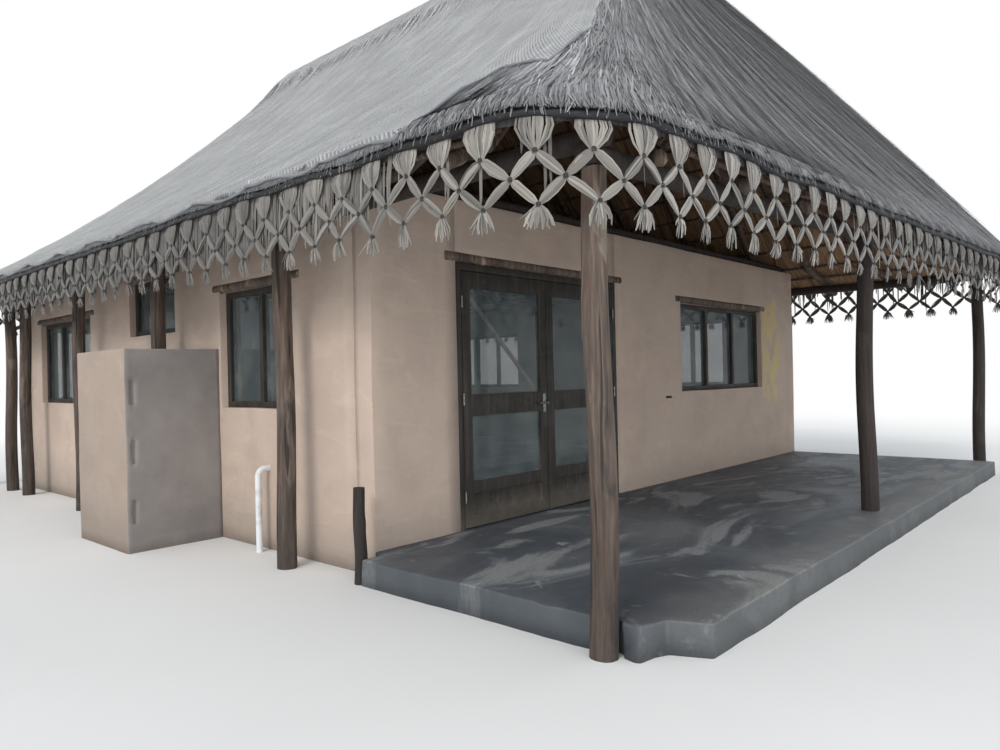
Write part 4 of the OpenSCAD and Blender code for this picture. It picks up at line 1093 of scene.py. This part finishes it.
def at_seam(edge):
    """Whether an edge lies where two pieces of wall are joined, or where a wall meets the door's frame."""
    planes = [(1, YF + WALL_T), (1, YB - WALL_T), (0, DOOR_X0), (0, DOOR_X1), (2, 0.0)]
    return any(all_at(edge, axis, at, 0.012) for axis, at in planes)


for node in NODES:
    if NODE_MATERIAL[node] == "plaster":
        soften(node, node + "_plastered", 0.016, "plaster", "plaster", at_seam, 0.14, wall_push)

# The shower screen's outer corner, and the height of a course of blocks
SCREEN_CORNER = (XL - 0.8, YF + 2.13)
SCREEN_LEN, COURSE, COURSES = 1.04, 0.24, 6


def screen():
    """The screen's outer corner shows the block courses: a slot in one face or the other, by turns."""
    cx, cy = SCREEN_CORNER
    bm = bevelled("shower_screen", 0.014, lambda e: all_at(e, 0, XL, 0.005) or all_at(e, 2, 0.0, 0.01))
    top = max(v.co.z for v in bm.verts)
    slots = []
    for k in range(COURSES):
        low, high = top - COURSE * (k + 1) + 0.025, top - COURSE * k - 0.02
        slots.append((0, cx + 0.042, cx + 0.072, low, high, 1, cy, 0.018) if k % 2 else
                     (1, cy + 0.016, cy + 0.028, low, high, 0, cx, 0.010))
    for across, a, b, low, high, *_ in slots:
        for axis, at in ((across, a), (across, b), (2, low), (2, high)):
            cut(bm, axis, at)
    for axis, low, high in ((0, cx, XL), (1, cy, cy + SCREEN_LEN), (2, 0.0, top)):
        cut_along(bm, axis, low, high, 0.11)
    for across, a, b, low, high, face_axis, at, deep in slots:
        faces = []
        for f in bm.faces:
            c = f.calc_center_median()
            if a < c[across] < b and low < c.z < high and abs(c[face_axis] - at) < 0.004:
                faces.append(f)
        if faces:
            bmesh.ops.inset_region(bm, faces=faces, thickness=0.004, depth=-deep, use_even_offset=True)
    for v in bm.verts:
        v.co += wander(v.co, 0.7, 2.0) * 0.007 + wander(v.co, 0.12, 3.0) * 0.0025
    bmesh.ops.triangulate(bm, faces=bm.faces)
    from_bmesh(bm, "screen_plastered", "screen_plaster", "plaster", replaces="shower_screen", sharp=35)


screen()

# ------------ verandah slab and timber
POST_LEFT, POST_RIGHT = XL - 0.24, XR + 0.24
NEAR_POST = (POST_LEFT, YF - 2.04)


def slab_push(p):
    """Worn slab edge, broken away round the near corner post."""
    near = max(0.0, 1 - math.hypot(p[0] - NEAR_POST[0], p[1] - NEAR_POST[1]) / 0.75)
    rim = 1.0 if p[1] < YF - 2.2 or p[0] < XL - 0.1 else 0.35
    v = wander(p, 0.5, 7.0) * 0.012 * rim + wander(p, 0.11, 8.0) * (0.004 + 0.02 * near)
    v.z = 0.0 if p[2] < 0.01 else v.z * 0.5
    return v


soften("verandah_slab", "verandah_worn", 0.022, "concrete", "concrete", grid=0.09, push=slab_push, segments=3,
       skip=lambda e: all_at(e, 2, 0.0, 0.01) or all(v.co.y > YF - 0.01 for v in e.verts))
for node in ("door_frame", "front_window_frame", "side_window_frames", "back_window_frames",
             "left_door_leaf", "right_door_leaf"):
    body = {"left_door_leaf": "door_left", "right_door_leaf": "door_right"}.get(node, "house")
    soften(node, node + "_eased", 0.0025, "dark_timber", "dark_timber", sharp=50, body=body)

# ------------ natural poles
POST_D, STUMP_D = 0.14, 0.086


def pole_piece(name, node, places, material, d=POST_D, replaces=None):
    """Poles along the same bent centre lines as the CAD ones, with bark ridges, swellings and knots.
    places are (x, y, phase); their height is that of the CAD pole there."""
    verts, faces = [], []
    sides, rings = 24, 60
    t = np.arange(sides) * 2 * np.pi / sides
    points = cad_points(node)
    for x, y, phase in places:
        near = points[np.hypot(points[:, 0] - x, points[:, 1] - y) < 0.13, 2]
        low, high = float(near.min()), float(near.max())
        rng = np.random.default_rng(int(phase * 10) + 400)
        k = np.linspace(0, 1, rings)
        z = low + (high - low) * k
        lean = 0.018 * np.sin(np.radians(180 * k))
        cx = x + lean * np.sin(np.radians(250 * k + 77 * phase))
        cy = y + lean * np.cos(np.radians(200 * k + 131 * phase))
        r = d / 2 * (1 - 0.12 * k)[:, None] * (1 + 0.03 * np.sin(3 * t + np.radians(90 * phase)))
        ridges = np.zeros((rings, sides))
        for j in range(rings):
            for q in range(sides):
                p = Vector((math.cos(t[q]) * 3.2, math.sin(t[q]) * 3.2, z[j] * 1.3 + phase * 3.1))
                thin = noise.noise(Vector((p.x * 2.3, p.y * 2.3, p.z * 1.2)))
                ridges[j, q] = 0.0035 * noise.noise(p * 0.6) + 0.0022 * abs(thin)
        r = r + ridges * (d / POST_D)
        # Knots: a swelling with a hollow in it
        for _ in range(int(rng.integers(2, 6))):
            t0, k0 = rng.uniform(0, 2 * np.pi), rng.uniform(0.06, 0.92)
            turn = np.angle(np.exp(1j * (t - t0)))
            rise = (z - (low + (high - low) * k0))[:, None]
            size = rng.uniform(0.7, 1.3)
            r = r + 0.009 * size * np.exp(-(turn / 0.33) ** 2 - (rise / (0.045 * size)) ** 2)
            r = r - 0.008 * size * np.exp(-(turn / 0.14) ** 2 - (rise / (0.016 * size)) ** 2)
        first = len(verts)
        px, py = cx[:, None] + r * np.cos(t), cy[:, None] + r * np.sin(t)
        pz = np.repeat(z[:, None], sides, axis=1)
        verts.extend(np.stack([px, py, pz], axis=-1).reshape(-1, 3).tolist())
        faces += tube_faces(rings, sides, first, flip=True)
        faces.append([first + q for q in range(sides - 1, -1, -1)])
        faces.append([first + (rings - 1) * sides + q for q in range(sides)])
    build(name, verts, faces, material, "pole_wood", sharp=60, replaces=replaces)


SIDE_POST_Y = [YF + y for y in (0.72, 2.77, 4.75, 6.58, 7.22)]
FRONT = [(*NEAR_POST, 1), (XL + 3.48, YF - 2.2, 2), (POST_RIGHT, YF - 2.256, 3)]
SIDE_L = [(POST_LEFT, y, 4 + i) for i, y in enumerate(SIDE_POST_Y)]
SIDE_R = [(POST_RIGHT, y, 9 + i) for i, y in enumerate(SIDE_POST_Y)]
BACK = [(2 * POST_RIGHT * k, YB + 0.63, 20 + 4 * k) for k in (-0.5, -0.17, 0.17, 0.5)]

pole_piece("front_post_near", "front_posts", FRONT[:1], "near_pole", replaces="front_posts")
pole_piece("front_posts_far", "front_posts", FRONT[1:], "dark_pole")
pole_piece("side_posts_left", "side_posts", SIDE_L, "left_pole", replaces="side_posts")
pole_piece("side_posts_right", "side_posts", SIDE_R, "dark_pole")
pole_piece("back_posts_bark", "back_posts", BACK, "dark_pole", replaces="back_posts")
pole_piece("stump_bark", "stump", [(XL - 0.17, YF - 0.05, 6)], "dark_pole", STUMP_D, replaces="stump")


# ------------ logs, laths and the roof's poles
def log_push(p):
    """Poles that were never quite straight."""
    return wander(p, 0.9, 11.0) * 0.007 + wander(p, 0.13, 12.0) * 0.0025


for node, material, grid, slot in (
        ("eave_beams", "dark_pole", 0.2, "pole_wood"), ("lintels", "pole_wood", 0.12, "pole_wood"),
        ("wall_plates", "dark_pole", 0.25, "pole_wood"), ("side_rafters", "pole_wood", 0.25, "pole_wood"),
        ("end_rafters", "pole_wood", 0.25, "pole_wood"), ("ridge_pole", "dark_pole", 0.3, "pole_wood"),
        ("battens", "lath", 1.2, "lath_wood")):
    soften(node, node + "_bark", 0.0, material, slot, grid=grid, push=log_push, sharp=55)


# ------------ shade net over the left slope
def shade_net():
    """One cut of knitted net laid over the left slope and its cap, in long folds, with a rolled edge
    that hangs in shallow scallops over the eave."""
    run = RUNS["left"]
    first, last = (START["left"] + float(np.interp(-y, -run[:, 1], along(run)[0])) for y in (NET_Y1, NET_Y0))
    nu, nv = 190, 56
    where = first + (last - first) * (1 - (1 - np.linspace(0, 1, nu)) ** 1.5)[:, None]
    e_y = ring_point(where[:, 0])[:, 1:]
    low = net_low(e_y)
    high = NET_TOP - 0.01 * np.clip((e_y + 5.2) / -0.6, 0, 1)
    share = low + (high - low) * np.linspace(0, 1, nv)
    crest = 1 - np.abs(np.sin(np.pi * (where / 0.78 + 0.35 * np.sin(share * 2.6) + 0.2 * np.sin(where * 0.9))))
    fold = 0.020 * crest ** 5 * np.clip(1.15 - share, 0.25, 1)
    fine = (0.0022 * np.sin(where * 13 + 6 * share + 1.5 * np.sin(share * 9))
            + 0.0015 * np.sin(share * 60 + where * 2))
    rows, _ = roof_point(np.repeat(where, nv, axis=1), share, 0.024 + fold + fine)
    rows[..., 2] += np.where(share > 0.86, cap_lift(share) + 0.006, 0)
    # Hanging edge: two more rows over the thatch edge, deepest between the folds
    out = ring_out(where[:, 0])
    at_eave = np.clip(1 - low / 0.02, 0, 1)
    scallop = 0.5 + 0.5 * np.sin(2 * np.pi * where[:, 0] / 0.95 + 0.8)
    hang = np.repeat(rows[:, :1], 2, axis=1)
    for row, (reach, fall, wave) in enumerate(((0.064, 0.055, 0.045), (0.052, 0.016, 0.012))):
        hang[:, row, :2] += out * (reach * at_eave + 0.004 * (2 - row) * (1 - at_eave))
        hang[:, row, 2] -= ((fall + wave * scallop) * at_eave[:, 0]
                            + 0.002 * (2 - row) * (1 - at_eave[:, 0]))
    rows = np.concatenate([hang, rows], axis=1)
    nv += 2
    faces = [(i * nv + j, (i + 1) * nv + j, (i + 1) * nv + j + 1, i * nv + j + 1)
             for i in range(nu - 1) for j in range(nv - 1)]
    up_slope = np.concatenate([np.zeros((nu, 1)),
                               np.cumsum(np.linalg.norm(np.diff(rows, axis=1), axis=-1), axis=1)], axis=1)
    sheet = build("shade_net_sheet", rows, faces, "net", "net", replaces="shade_net",
                  uv=(np.repeat(where[:, 0], nv), (up_slope - up_slope[:, -1:]).ravel()))
    a, b = rows[1:, :-1] - rows[:-1, :-1], rows[:-1, 1:] - rows[:-1, :-1]
    area = float(np.linalg.norm(np.cross(a, b), axis=-1).sum())
    long_way = float(np.linalg.norm(np.diff(rows[:, 2], axis=0), axis=1).sum())
    edge_roll(rows[:, 0])


def edge_roll(line):
    """The net's edge, rolled into a cord and gathered at short tufts."""
    sides, n = 8, len(line)
    verts = []
    for i in range(n):
        t = unit(line[min(i + 1, n - 1)] - line[max(i - 1, 0)])
        side = unit(np.cross(t, (0, 0, 1)))
        up = np.cross(side, t)
        r = 0.010 * (1 + 0.3 * math.sin(i * 1.9) + 0.25 * math.sin(i * 0.6))
        for k in range(sides):
            a = 2 * math.pi * k / sides
            verts.append(line[i] + up * (r * math.sin(a) + 0.002) + side * r * math.cos(a))
    build("shade_net_edge", verts, tube_faces(n, sides), "net_edge", "net")


shade_net()


# ------------ small details, floor and finish
def pipe_stub():
    """Short end of a dark pipe that sticks out of the front wall, open at its end."""
    x, z, r, bore, end = 0.177, 1.09, 0.0125, 0.0095, YF - 0.06
    sides = 24
    rings = [(r, YF + 0.03), (r, end + 0.001), (r - 0.001, end), (bore, end), (bore, end + 0.04)]
    angles = [2 * math.pi * k / sides for k in range(sides)]
    verts = [(x + radius * math.cos(a), y, z + radius * math.sin(a)) for radius, y in rings for a in angles]
    faces = tube_faces(len(rings), sides, flip=True) + [[4 * sides + k for k in range(sides)]]
    build("pipe_stub", verts, faces, "dark_pipe", "pipe_plastic", sharp=40)


def stage_floor():
    """Pale floor that turns to plain white with distance, so that no horizon shows."""
    r = 300
    mesh = bpy.data.meshes.new("floor")
    mesh.from_pydata([(-r, -r, 0), (r, -r, 0), (r, r, 0), (-r, r, 0)], [], [(0, 1, 2, 3)])
    s = Shade("floor")
    s.finish(s.ramp(s.noise(0.4), (0.3, 226, 225, 223), (0.7, 232, 231, 229)), 0.95)
    reach = s.add("VectorMath", operation="LENGTH")
    s.link(s.coords(), reach.inputs[0])
    far = s.product(s.level(reach.outputs["Value"], 7.5, 17.0), s.camera_ray())
    s.seen_white(s.t.nodes["Material Output"], s.add("MixShader"), far, s.bsdf, s.add("Emission"))
    mesh.materials.append(s.mat)
    add_object("floor", mesh)


pipe_stub()
stage_floor()
